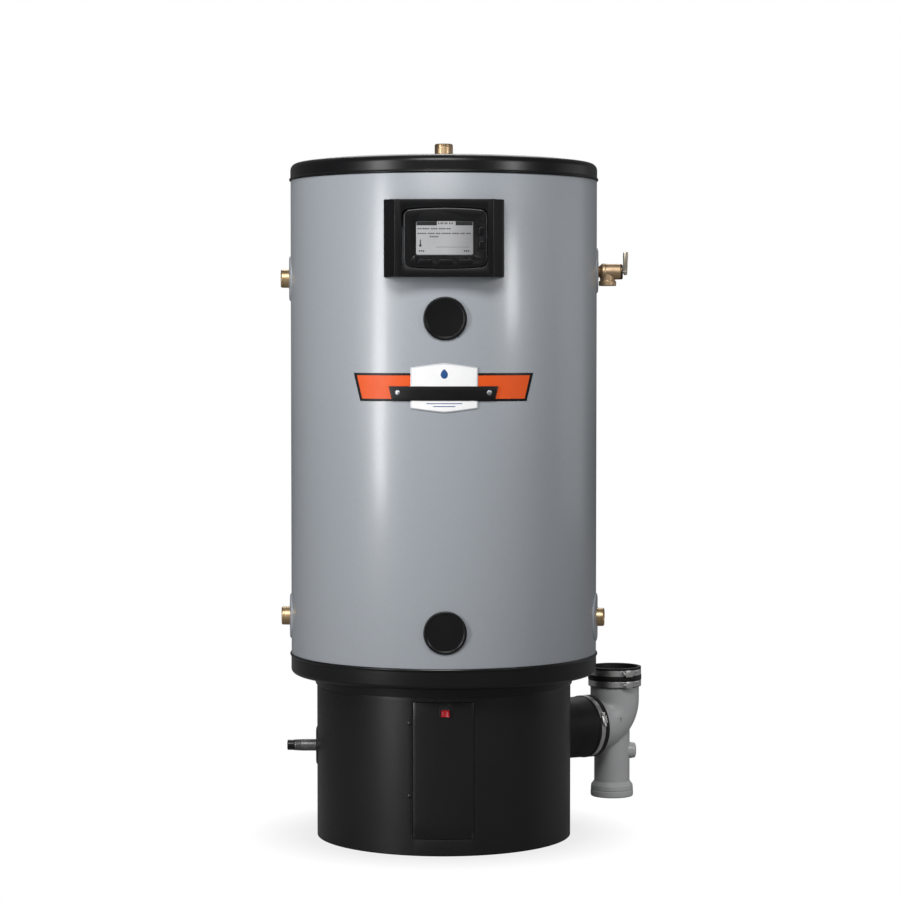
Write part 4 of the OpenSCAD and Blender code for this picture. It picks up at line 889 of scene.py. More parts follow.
def make_nameplate():
    low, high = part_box("nameplate_band")
    top_half = JACKET_R * math.asin(high.x / JACKET_R)
    foot_half = JACKET_R * math.asin((high.x - 11.5 * MM) / JACKET_R)
    tall = high.z - low.z

    def u_band(s, t):
        return mix(-1, 1, s) * mix(foot_half, top_half, t)

    border = 4.2 * MM
    side = border * 1.3 / (2 * foot_half)
    us = [0, side] + steps(side, 1 - side, 60)[1:-1] + [1 - side, 1]
    vs = [0, border / tall, 0.5, 1 - border / tall, 1]

    def pick(s, t):
        return 1 if (s < side or s > 1 - side or t < border / tall or t > 1 - border / tall) else 0

    band = wrapped_patch("nameplate_sheet", us, vs, u_band, lambda s, t: mix(low.z, high.z, t), 0.1 * MM,
        0.8 * MM, [SKINS["orange_print"], BLACK_INK], pick, 0.15 * MM)
    show(band, "heater", "nameplate_band", "orange_print")

    low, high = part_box("nameplate_center")
    half = JACKET_R * math.asin((high.x - low.x) / 2 / JACKET_R)
    across = (low.x + high.x) / 2
    peak = 7.4 * MM
    foot, head = low.z + peak, high.z - peak

    def v_center(s, t):
        bow = peak * (1 - abs(2 * s - 1) ** 1.2)
        return mix(foot - bow, head + bow, t)

    rim = 2.2 * MM
    side = rim / (2 * half)
    sill = rim / (high.z - low.z)
    us = [0] + steps(side, 1 - side, 32) + [1]
    vs = [0] + steps(sill, 1 - sill, 12) + [1]
    center = wrapped_patch("middle", us, vs, lambda s, t: across + mix(-half, half, s), v_center, 0.8 * MM,
        2.0 * MM, [SKINS["silver_plate"], WHITE_INK], lambda s,
        t: 0 if (s < side or s > 1 - side or t < sill or t > 1 - sill) else 1, 0.3 * MM)
    flats = []
    drop = []
    points = 33
    for k in range(points):
        a = 2 * math.pi * k / points
        pointed = 1 - 0.62 * max(0, math.sin(a)) ** 3
        drop.append((6.2 * MM * math.cos(a) * pointed,
            6.6 * MM * math.sin(a) * (1.5 if math.sin(a) > 0 else 1)))
    flat = plate("drop", drop, 0, 0.3 * MM, 0.1 * MM, [BLUE_INK])
    for vert in flat.data.vertices:
        vert.co = on_jacket(vert.co.x + across, vert.co.y + head - 13 * MM, 1.9 * MM + vert.co.z, JACKET_R)
    flats.append(flat)
    for v, width in ((7.5, 62), (2.5, 38)):
        reach = width / 2 * MM
        flats.append(wrapped_patch("line", steps(0, 1, 24), [0, 1], lambda s, t,
            reach=reach: across + mix(-reach, reach, s), lambda s, t, v=v: foot + (v + 1.4 * t) * MM,
            1.8 * MM, 2.15 * MM, [BLUE_INK], None, 0.1 * MM))
    show(join("nameplate_middle_plate", [center] + flats), "heater", "nameplate_center", "silver_plate")

    low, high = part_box("nameplate_strip")
    top_half = JACKET_R * math.asin(high.x / (JACKET_R + 3.6 * MM))
    foot_half = top_half - 6 * MM
    strip = wrapped_patch("nameplate_badge", steps(0, 1, 48), steps(0, 1, 3), lambda s,
        t: mix(-1, 1, s) * mix(foot_half, top_half, t), lambda s, t: mix(low.z, high.z, t), 0.9 * MM,
        3.6 * MM, [BLACK_INK], None, 0.5 * MM)
    show(strip, "heater", "nameplate_strip", "gloss_black")
    low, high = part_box("nameplate_rivets")
    r = (high.z - low.z) / 2
    az = math.degrees(math.asin((high.x - r) / (JACKET_R + 4 * MM)))
    heads = []
    for side in (-1, 1):
        head = turned("rivet", [(0, -2 * MM, 0), (2 * MM, -2 * MM, 0), (2 * MM, 0, 0), (r, 0, 0.3),
            (r * 0.92, 0.9 * MM, 0.7), (r * 0.45, 1.6 * MM, 0.6), (0, 1.7 * MM, 0)], [SKINS["zinc_steel"]],
            40, closed=False)
        heads.append(put(head, outward(FRONT + side * az, (low.z + high.z) / 2, JACKET_R + 3.7 * MM)))
    show(join("rivet_heads", heads), "heater", "nameplate_rivets", "zinc_steel")


# ------------------------------------------------------------------ display

def bowed_outline(w, h, bow, corner):
    """Round-cornered rectangle whose top and bottom bulge; anticlockwise."""
    points = [(w / 2, -h / 2, corner), (w / 2, h / 2, corner)]
    points += [(w / 2 * f, h / 2 + bow * (1 - f * f), 0) for f in (0.7, 0.5, 0.25, 0, -0.25, -0.5, -0.7)]
    points += [(-w / 2, h / 2, corner), (-w / 2, -h / 2, corner)]
    points += [(w / 2 * f, -h / 2 - bow * (1 - f * f), 0) for f in (-0.7, -0.5, -0.25, 0, 0.25, 0.5, 0.7)]
    return rounded(points, steps=6)


def facing_front(x, y, z):
    """Matrix from a flat piece (x across, y up, +Z to the viewer) to the front of the heater."""
    turn = Matrix(((1, 0, 0), (0, 0, -1), (0, 1, 0))).to_4x4()
    return Matrix.Translation((x, y, z)) @ turn


def make_display():
    skin = SKINS["gloss_black"]
    low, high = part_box("display_housing")
    mid = (low + high) / 2
    half = (high.x - low.x) / 2
    face = low.y
    flat = face + 2 * MM
    edge = half - 18 * MM
    right = [(edge - 8 * MM, flat, 4), (edge - 0.8 * MM, flat + 1.0 * MM, 1.0), (edge, flat + 5 * MM, 1.0),
        (half - 3 * MM, flat + 20 * MM, 3), (half, flat + 24 * MM, 2), (half, flat + 48 * MM, 0)]
    left = [(-x, y, r) for x, y, r in reversed(right)]
    plan = [(mid.x + x, y) for x, y in rounded(left + [(0, face, 60)] + right, steps=5)]
    soft = 1.2 * MM
    rings = []
    for k in range(4):
        a = math.pi / 2 * k / 3
        rings.append([(x, y, low.z + soft * (1 - math.cos(a))) for x,
            y in inset(plan, soft * (1 - math.sin(a)))])
    upper = [[(x, y, high.z - (z - low.z)) for x, y, z in ring] for ring in reversed(rings)]
    housing = ring_stack("display_case", rings + upper, [skin])
    bezel_low, bezel_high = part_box("display_bezel")
    bezel_x = (bezel_low.x + bezel_high.x) / 2
    bw, bh = bezel_high.x - bezel_low.x, 96 * MM
    bow = (bezel_high.z - bezel_low.z - bh) / 2
    hole = plate("hole", bowed_outline(bw + 2.8 * MM, bh + 2.8 * MM, bow, 13), 0, 60 * MM, 0.01 * MM,
        [skin])
    cut(housing, put(hole, facing_front(bezel_x, face + 45 * MM, mid.z)))
    drum = lathe("drum", [(0, mid.z - 0.2), (JACKET_R + 0.4 * MM, mid.z - 0.2),
        (JACKET_R + 0.4 * MM, mid.z + 0.2), (0, mid.z + 0.2)], [skin], 256, closed=False)
    cut(housing, drum)
    show(bevelled(housing, 0.5 * MM, 2, 50), "heater", "display_housing", "gloss_black")

    screen_low, screen_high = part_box("lcd_screen")
    screen = (screen_low + screen_high) / 2
    sw, sh = screen_high.x - screen_low.x - 8.4 * MM, screen_high.z - screen_low.z - 4.8 * MM
    sx, sz = screen.x - 2 * MM, screen.z
    outer = [(x + 1.0 * MM, y) for x, y in bowed_outline(bw - 2.2 * MM, bh, bow, 12)]
    front = face + 0.3 * MM
    rings = [[(bezel_x + x, front + 6.2 * MM, mid.z + y) for x, y in outer]]
    for k in range(4):
        a = math.pi / 2 * k / 3
        rings.append([(bezel_x + x, front + 1.8 * MM * (1 - math.sin(a)), mid.z + y) for x,
            y in inset(outer, 2.6 * MM * (1 - math.cos(a)))])
    bezel = ring_stack("display_face", rings, [skin])
    window = plate("window", round_rect(sw, sh, 2), 0, 30 * MM, 0.01 * MM, [skin])
    cut(bezel, put(window, facing_front(sx, face + 15 * MM, sz)))
    slope = []
    for grow, depth in ((9.2, -0.6), (8.2, 0.2), (0.6, 2.6), (-0.4, 3.0)):
        slope.append([(sx + x, front + depth * MM, sz + y) for x,
            y in round_rect(sw + grow * MM, sh + 0.45 * grow * MM, 2.2)])
    cut(bezel, ring_stack("funnel", slope, [skin]))
    for name in ("key_left", "key_middle", "key_right", "key_up", "key_down"):
        a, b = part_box(name)
        w, h = b.x - a.x, b.z - a.z
        well = plate("well", round_rect(w + 0.8 * MM, h + 0.8 * MM, 2.4), 0, 30 * MM, 0.01 * MM, [skin])
        cut(bezel, put(well, facing_front((a.x + b.x) / 2, face + 15 * MM, (a.z + b.z) / 2)))
        cap = plate(name + "_cap", round_rect(w, h, 2), -(b.y - a.y) + 0.3 * MM, -0.4 * MM, 0.8 * MM,
            [skin])
        put(cap, facing_front((a.x + b.x) / 2, a.y, (a.z + b.z) / 2))
        show(cap, name, name, "gloss_black")
    show(bevelled(bezel, 0.25 * MM, 1, 45), "heater", "display_bezel", "gloss_black")
    make_screen_marks(sx, screen_low.y, sz, sw / 2 / MM, sh / 2 / MM)


def make_screen_marks(x0, y0, z0, half_w, half_h):
    """Generic readout: a dark header, rows of dashes, a thermometer, a line and soft-key marks."""
    marks = []

    def mark(x, z, w, h, r=0.25):
        piece = plate("mark", round_rect(w * MM, h * MM, r, 2), 0, 0.12 * MM, 0.03 * MM, [SCREEN_INK])
        marks.append(put(piece, facing_front(x0 + x * MM, y0 + 0.02 * MM, z0 + z * MM)))

    head = half_h - 3.6
    mark(-half_w * 0.63, head, half_w * 0.72, 7.0)
    mark(half_w * 0.69, head, half_w * 0.6, 7.0)
    for x in (-10, -6, -3, 1, 4, 9, 13):
        mark(x, head, 1.8, 3.2)
    rows = [(15.8, (-45, -41, -36, -32, -28, -22, -18, -14, -8, -4, 0, 5, 9)),
        (7.7, (-45, -41, -37, -33, -27, -23, -19, -13, -9, -3, 1, 5, 9, 15, 19, 23, 29, 33, 39, 43)),
        (2.2, (-24, -20, -16, -12))]
    for z, xs in rows:
        for x in xs:
            mark(x, z, 2.6, 2.2)
    mark(-41.5, -7.4, 1.8, 9, 0.7)
    mark(-41.5, -13.0, 4.4, 4.4, 2.0)
    mark(14, -15.7, 58, 0.5, 0.1)
    for x in (-43, -39.5, -36, 34.5, 38, 41.5):
        mark(x, -22.4, 2.4, 2.4)
    piece = join("screen_marks", marks)
    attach(piece, "heater")


# ------------------------------------------------------------------ relief valve

def make_relief():
    cast_brass = [BRASS_CAST]
    low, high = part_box("relief_valve_body")
    z = RELIEF_Z
    port, port_r = mount("relief_outlet")
    start = JACKET_R + 3.6 * MM
    end = high.x
    r = 14.3 * MM
    neck = turned("neck", [(0, -6 * MM, 0), (9 * MM, -6 * MM, 0), (9.2 * MM, 0, 0),
        (13.4 * MM, 4.6 * MM, 2), (15.2 * MM, 7 * MM, 1.5), (15.2 * MM, 11 * MM, 1.5), (r, 13 * MM, 1),
        (r, end - start, 0.8), (0, end - start, 0)], cast_brass, 64, closed=False)
    parts = [put(neck, outward(RIGHT, z, start)), bar("port", (port.x, 0, z), (port.x, 0, low.z + 4 * MM),
        13.8 * MM, cast_brass, 48), bar("rim", (port.x, 0, low.z + 9 * MM), (port.x, 0, low.z), 16 * MM,
        cast_brass, 48, 0.8)]
    casting = cast("casting", parts, 0.5 * MM, 3, cast_brass)
    cut(casting, bar("bore", (port.x, 0, low.z - 1 * MM), (port.x, 0, low.z + 14 * MM), port_r, cast_brass,
        48))
    cut(casting, bar("seat", (JACKET_R + 10 * MM, 0, z), (end + 1 * MM, 0, z), 9.5 * MM, cast_brass, 48))
    cut(casting, bar("throat", (port.x, 0, low.z + 4 * MM), (port.x, 0, z), 8 * MM, cast_brass, 48))
    hexagon = turned("hex", mm([(10, 0, 0), (14.2, 0, 0), (15.5, 1.2, 0), (15.5, 4.4, 0), (14.2, 5.6, 0),
        (10, 5.6, 0)]), cast_brass, 6, smooth=20)
    put(hexagon, outward(RIGHT, z, start + 6.4 * MM))
    shank = bar("shank", (low.x + 60 * MM, 0, z), (start - 0.2 * MM, 0, z), 13 * MM, cast_brass, 48)
    probe = bar("probe", (low.x, 0, z), (low.x + 80 * MM, 0, z), 4.5 * MM, cast_brass, 24, 1.5)
    show(join("relief_casting", [casting, hexagon, shank, probe]), "heater", "relief_valve_body", "brass")

    low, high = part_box("relief_bonnet")
    r = (high.z - low.z) / 2
    length = high.x - low.x
    hole = 2.5 * MM
    collar = turned("relief_cap", [(hole, 0, 0), (9.3 * MM, 0, 0.3), (9.3 * MM, 5 * MM, 0),
        (r, 5 * MM, 0.5), (r, length - 1.6 * MM, 0.4), (r - 1.4 * MM, length - 0.2 * MM, 0.5),
        (6 * MM, length - 0.2 * MM, 0.3), (5.2 * MM, length, 0.2), (hole, length, 0.2)],
        [SKINS["dark_brass"]], 96)
    show(put(collar, outward(RIGHT, z, low.x)), "heater", "relief_bonnet", "dark_brass")

    steel = [SKINS["lever_steel"]]
    low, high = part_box("relief_lever")
    pin = Vector(next(j for j in frame["joints"] if j["name"] == "relief_lever_hinge")["pos_m"])
    half = (high.y - low.y) / 2
    outline = rounded([(x * MM, y * MM, r) for x, y,
        r in ((-1.5, -5.5, 1.5), (0.5, -6.5, 1.5), (3.9, -5.5, 1.2), (4.4, 0, 3), (5.7, 34, 0.8),
        (5.6, 36, 0.8), (0, 36.4, 1.5), (-2.5, 35.5, 1.2), (-3.3, 30, 3), (-2.9, 8, 3), (-2.9, -2.5, 1.5))],
        steps=4)
    outline = inset(outline, 0.03 * MM)
    rings = []
    for shrink, y in ((0.5, half), (0.15, half - 0.15 * MM), (0, half - 0.5 * MM), (0, -half + 0.5 * MM),
            (0.15, -half + 0.15 * MM), (0.5, -half)):
        rings.append([(pin.x + x, y, pin.z + v) for x, v in inset(outline, shrink * MM)])
    lever = ring_stack("lever", rings, steel)
    inside = rounded(mm([(-9, -12, 0), (2.2, -12, 0), (2.8, 0, 2), (4.1, 34.3, 0.8), (-9, 34.3, 0)]),
        steps=3)
    channel = [(pin.x + x, pin.z + v) for x, v in inside]
    tool = ring_stack("channel", [[(x, y, v) for x, v in channel] for y in (-half + 1.4 * MM,
        half - 1.4 * MM)], steel)
    cut(lever, tool)
    cut(lever, bar("hole", (pin.x, -0.02, pin.z), (pin.x, 0.02, pin.z), 1.58 * MM, steel, 24))
    show(bevelled(lever, 0.2 * MM, 1, 50), "relief_lever", "relief_lever", "lever_steel")


# ------------------------------------------------------------------ gas pipe and switch

def make_gas():
    gas, r = mount("gas_inlet")
    low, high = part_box("gas_pipe")
    start, end = -high.x, -low.x
    profile = [(r, start, 0), (r, end - 12 * MM, 0)]
    pitch = 1.8 * MM
    for k in range(6):
        at = end - 12 * MM + k * pitch
        profile += [(r - 0.05 * MM * k, at + 0.3 * MM, 0), (r - 0.9 * MM - 0.05 * MM * k, at + 0.9 * MM, 0),
            (r - 0.05 * MM * k, at + 1.5 * MM, 0)]
    profile += [(r - 0.9 * MM, end, 0), (r - 2.8 * MM, end, 0.2), (r - 2.8 * MM, start, 0)]
    pipe = turned("gas_tube", profile, [SKINS["dark_pipe"]], 64)
    show(put(pipe, outward(LEFT, gas.z)), "heater", "gas_pipe", "dark_pipe")
    low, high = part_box("gas_pipe_cap")
    start, end = -high.x, -low.x
    rr = (high.z - low.z) / 2
    cap = turned("gas_cap", [(0, start + 1 * MM, 0), (rr - 1.5 * MM, start, 0), (rr, start, 0.5),
        (rr, start + 2 * MM, 0.3), (rr - 0.5 * MM, start + 2.4 * MM, 0.3),
        (rr - 0.5 * MM, end - 2 * MM, 0.3), (rr - 0.2 * MM, end - 1.2 * MM, 0.6), (rr - 1.6 * MM, end, 0.6),
        (rr - 4 * MM, end, 0.5), (rr - 4.6 * MM, end - 1.2 * MM, 0.5), (0, end - 1.2 * MM, 0)],
        [SKINS["black_plastic"]], 64, closed=False)
    show(put(cap, outward(LEFT, gas.z)), "heater", "gas_pipe_cap", "black_plastic")


def make_switch():
    low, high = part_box("switch_housing")
    mid = (low + high) / 2
    skin = SKINS["gloss_black"]
    rim = plate("switch_rim", round_rect(high.x - low.x, high.z - low.z, 1.5), 0, 1.7 * MM, 0.8 * MM,
        [skin])
    put(rim, facing_front(mid.x, low.y + 1.7 * MM, mid.z))

    def block(name, w, y0, y1, h, soft):
        return box_piece(name, (mid.x - w * MM, y0, mid.z - h * MM), (mid.x + w * MM, y1, mid.z + h * MM),
            soft, [skin])

    can = block("can", 9.7, low.y + 1.5 * MM, high.y, 6.8, 0.5 * MM)
    body = join("switch_case", [rim, can])
    cut(body, block("mouth", 8.3, low.y - 1 * MM, low.y + 2.3 * MM, 6.3, 0.05 * MM))
    cut(body, block("pit", 8.7, low.y + 1.2 * MM, low.y + 13 * MM, 6.3, 0.05 * MM))
    show(body, "heater", "switch_housing", "gloss_black")
    joint = next(j for j in frame["joints"] if j["name"] == "power_switch")
    pivot = Vector(joint["pos_m"])
    outline = [(-7.9, 3.0), (-8.3, 0.0), (-8.0, -2.6), (-7.1, -4.6), (-6.4, -5.0), (-5.4, -4.85),
        (-2.2, -3.75), (0, -3.45), (2.2, -3.75), (5.4, -4.85), (6.4, -5.0), (7.1, -4.6), (8.0, -2.6),
        (8.3, 0.0), (7.9, 3.0)]
    outline = [(x * MM, y * MM) for x, y in reversed(outline)]
    h = 12.2 * MM
    rings = []
    for grow, zz in ((0.6, 0.0), (0.2, 0.15), (0.0, 0.6), (0.0, 11.6), (0.2, 12.05), (0.6, 12.2)):
        rings.append([(x, y, pivot.z - h / 2 + zz * MM) for x, y in inset(outline, 0.6 * grow * MM)])
    rocker = ring_stack("rocker", rings, [SKINS["red_plastic"]])
    bars = []
    # Two lighter red stripes, one on each half of the rocker face.
    for x, y, ww in ((-3.9, -4.42, 1.0), (3.9, -4.42, 1.0)):
        tilt = 20 if x < 0 else -20
        stripe = plate("stripe", round_rect(ww * MM, 5.4 * MM, 0.3, 2), -0.2 * MM, 0.14 * MM, 0.05 * MM,
            [SWITCH_STRIPE_COLOUR])
        put(stripe, Matrix.Rotation(math.radians(tilt), 4, "Y"))
        put(stripe, facing_front(x * MM, y * MM, pivot.z))
        bars.append(stripe)
    rocker = join("rocker_cap", [rocker] + bars)
    turn = Matrix.Translation((pivot.x, pivot.y, 0)) @ Matrix.Rotation(math.radians(-8), 4, "Z")
    show(put(rocker, turn), "power_rocker", "switch_rocker", "red_plastic")


# ------------------------------------------------------------------ vent tee, couplings and clamps

def sweep_tube(name, points, radius, materials, count=40):
    """Round tube along points; used as a rough solid before melting."""
    rings = []
    for i, p in enumerate(points):
        a = Vector(points[max(0, i - 1)])
        b = Vector(points[min(len(points) - 1, i + 1)])
        turn = (b - a).to_track_quat("Z", "Y").to_matrix()
        ring = []
        for k in range(count):
            t = 2 * math.pi * k / count
            ring.append(tuple(Vector(p) + turn @ Vector((radius * math.cos(t), radius * math.sin(t), 0))))
        rings.append(ring)
    return ring_stack(name, rings, materials)


def make_tee():
    skin = [SKINS["vent_plastic"]]
    low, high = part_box("vent_tee")
    neck_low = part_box("vent_coupling")[0].z
    out = Vector((math.cos(math.radians(VENT_AZ)), math.sin(math.radians(VENT_AZ)), 0))
    axis = Vector((TEE_AXIS.x, TEE_AXIS.y, 0))
    drain, drain_r = mount("condensate_drain")
    lower = Vector((drain.x, drain.y, 0))
    tee_r, lower_r, bend_r, bore = 46.8 * MM, 34.2 * MM, 48 * MM, 41 * MM
    branch_start, gate_z, past_top, past_foot = 0.300, 0.183, 0.32, 0.02
    z = Vector((0, 0, 1))
    start = out * branch_start + z * VENT_Z
    elbow_in = out * (TEE_OUT - bend_r) + z * VENT_Z

    def bend(first, last):
        points = [first]
        for k in range(1, 24):
            a = math.pi / 2 * k / 24
            points.append(out * (TEE_OUT - bend_r + bend_r * math.sin(a))
                + z * (VENT_Z + bend_r - bend_r * math.cos(a)))
        return points + [last]

    elbow_out = axis + z * (VENT_Z + bend_r)
    top = axis + z * neck_low
    parts = [bar("branch", start, elbow_in + out * 2 * MM, tee_r, skin, 96),
        sweep_tube("swept", bend(elbow_in, elbow_out), tee_r, skin, 96),
        bar("upper", elbow_out - z * 2 * MM, top, tee_r, skin, 96),
        bar("lower", lower + z * 0.05, lower + z * VENT_Z, lower_r, skin, 96)]
    body = cast("tee_body", parts, 1.3 * MM, 2, skin)
    collar_r = 41 * MM
    collar = turned("collar", [(drain_r, low.z, 0.8), (collar_r - 1 * MM, low.z, 1.2),
        (collar_r, low.z + 3 * MM, 1), (collar_r, low.z + 11 * MM, 0.4),
        (collar_r - 0.9 * MM, low.z + 11.8 * MM, 0.3), (collar_r - 0.9 * MM, low.z + 13.0 * MM, 0.3),
        (collar_r - 0.3 * MM, low.z + 13.8 * MM, 0.4), (collar_r - 1.0 * MM, low.z + 22 * MM, 3),
        (lower_r + 0.5 * MM, low.z + 29 * MM, 2), (lower_r - 1 * MM, low.z + 31 * MM, 0),
        (drain_r, low.z + 28 * MM, 0)], skin, 128)
    put(collar, Matrix.Translation(lower))
    cut(body, bar("drain", lower + z * past_foot, lower + z * VENT_Z, drain_r - 1 * MM, skin, 64))
    cut(body, join("vent", [sweep_tube("way", bend(elbow_in, elbow_out), bore, skin, 96)]))
    cut(body, bar("outlet", elbow_out - z * 0.5 * MM, axis + z * past_top, bore, skin, 96))
    cut(body, bar("inlet", start - out * past_foot, elbow_in + out * 0.5 * MM, bore, skin, 96))
    struck, spot, _, _ = body.ray_cast(Vector((axis.x + 9 * MM, -0.5, gate_z)), Vector((0, 1, 0)))
    if struck:
        reach = Vector((1.4, 3, 4.5)) * MM
        cut(body, box_piece("gate", spot - reach, spot + reach, 0.3 * MM, skin, 1))
    neck = turned("neck", [(bore, neck_low - 2 * MM, 0), (VENT_PIPE_R - 0.1 * MM, neck_low - 2 * MM, 0),
        (VENT_PIPE_R - 0.1 * MM, high.z, 0.8), (bore, high.z, 0.8)], skin, 96)
    put(neck, Matrix.Translation(axis))
    cap = turned("port_cap", mm([(0, -2, 0), (15.5, -2, 0.5), (15.5, 4.6, 0.6), (14.7, 5.2, 0.4),
        (14.9, 7.0, 0.5), (13.6, 10.6, 3), (8, 12.2, 3), (0, 12.4, 0)]), skin, 64, closed=False, steps=6)
    boss = lower + z * (low.z + 87.5 * MM)
    boss_end = boss + Vector((lower_r, 0, 0))
    put(cap, Matrix.Translation(boss_end) @ Matrix.Rotation(math.radians(90), 4, "Y"))
    root = bar("root", boss, boss_end, 15.4 * MM, skin, 64)
    show(join("vent_tee_body", [body, collar, neck, cap, root]), "heater", "vent_tee", "vent_plastic")


def clamp_band(r, screw_az, width, matrix):
    """Worm-drive clamp: band with a slotted tail, screw housing and screw, about +Z from 0 to width."""
    steel = [SKINS["stainless"]]
    rim = 0.9 * MM
    band = shell_grid("band", r + rim, 0.8 * MM, steps(0, 360, 180), [0, rim, width - rim, width],
        lambda az, z: True, steel, 0.2 * MM)
    tail = shell_grid("tail", r + 1.7 * MM, 0.7 * MM, steps(screw_az - 6, screw_az + 34, 40),
        [0.4 * MM, 3 * MM, width - 3 * MM, width - 0.4 * MM], lambda az,
        z: not (3 * MM < z < width - 3 * MM and int(az - screw_az + 60) % 2 == 0 and az < screw_az + 32),
        steel, 0.1 * MM)
    half = 8 * MM
    foot = box_piece("foot", (r + 0.8 * MM, -half, 0.4 * MM), (r + 4 * MM, half, width - 0.4 * MM),
        0.3 * MM, steel, 2)
    house = box_piece("house", (r + 2.4 * MM, -half, -1.1 * MM), (r + 7.8 * MM, half, width + 1.1 * MM),
        1.7 * MM, steel, 3)
    worm = turned("worm", mm([(0, -13.8, 0), (2.5, -13.8, 0.5), (2.5, 10, 0), (3.9, 10, 0.3),
        (3.9, 13.4, 0.8), (2.4, 13.6, 0.2), (2.2, 13, 0), (0, 13, 0)]), steel, 32, closed=False)
    cut(worm, box_piece("slit", (-3.2 * MM, -0.45 * MM, 12.4 * MM), (3.2 * MM, 0.45 * MM, 16 * MM),
        0.05 * MM, steel, 1))
    put(worm, Matrix.Translation((r + 5 * MM, 0, width / 2)) @ Matrix.Rotation(math.radians(90), 4, "X"))
    swing = Matrix.Rotation(math.radians(screw_az), 4, "Z")
    for piece in (foot, house, worm):
        put(piece, swing)
    return put(join("clamp", [band, tail, foot, house, worm]), matrix)


def make_couplings():
    skin = [SKINS["rubber"]]
    low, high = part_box("vent_coupling")
    r = 50 * MM
    bore = VENT_PIPE_R
    rib = low.z + 12.6 * MM
    profile = rounded([(bore, low.z, 0.4), (r + 0.7 * MM, low.z, 0.4),
        (r + 0.7 * MM, low.z + 0.9 * MM, 0.3), (r, low.z + 1.1 * MM, 0.1), (r, rib, 0.2),
        (r + 1.5 * MM, rib + 0.3 * MM, 0.9), (r + 1.5 * MM, rib + 8.8 * MM, 0.9), (r, rib + 9.1 * MM, 0.2),
        (r, high.z - 3.2 * MM, 0.2), (r + 0.8 * MM, high.z - 2.9 * MM, 0.5), (r + 0.8 * MM, high.z, 0.9),
        (bore, high.z, 0.9), (bore, low.z + 18.7 * MM, 0.3), (42 * MM, low.z + 18.4 * MM, 0.6),
        (42 * MM, low.z + 15.9 * MM, 0.6), (bore, low.z + 15.6 * MM, 0.3)], steps=3)
    sleeve = lathe("vent_sleeve", profile, skin, 128)
    show(put(sleeve, Matrix.Translation((TEE_AXIS.x, TEE_AXIS.y, 0))), "heater", "vent_coupling", "rubber")

    start = SKIRT_R + 2.5 * MM
    end = 345 * MM
    r = 58 * MM
    bore = 47.2 * MM
    profile = rounded([(bore, start, 0.5), (r - 1 * MM, start, 1.5), (r, start + 6 * MM, 0.5),
        (r + 1.2 * MM, start + 6.6 * MM, 0.6), (r + 1.2 * MM, start + 11 * MM, 0.6),
        (r, start + 11.6 * MM, 0.5), (r - 1.2 * MM, start + 40 * MM, 4), (r, end - 32 * MM, 4),
        (r, end - 25.2 * MM, 0.4), (r + 1.2 * MM, end - 24.6 * MM, 0.6), (r + 1.2 * MM, end - 21 * MM, 0.6),
        (r, end - 20.6 * MM, 0.2), (r, end - 10.3 * MM, 0.2), (r + 1.2 * MM, end - 10 * MM, 0.7),
        (r + 1.2 * MM, end - 1 * MM, 1.2), (r - 2 * MM, end, 1.5), (bore, end, 0.8)], steps=3)
    boot = lathe("exhaust_boot", profile, skin, 128)
    show(put(boot, outward(VENT_AZ, VENT_Z)), "heater", "exhaust_coupling", "rubber")

    tee_at = Matrix.Translation((TEE_AXIS.x, TEE_AXIS.y, 0))
    clamps = [clamp_band(58 * MM, 162, 9 * MM, outward(VENT_AZ, VENT_Z, end - 20 * MM)),
        clamp_band(50 * MM, -64, 10.8 * MM, tee_at @ Matrix.Translation((0, 0, high.z - 15.2 * MM))),
        clamp_band(50 * MM, -64, 10.8 * MM, tee_at @ Matrix.Translation((0, 0, low.z + 1.2 * MM)))]
    show(join("worm_clamps", clamps), "heater", "band_clamps", "stainless")


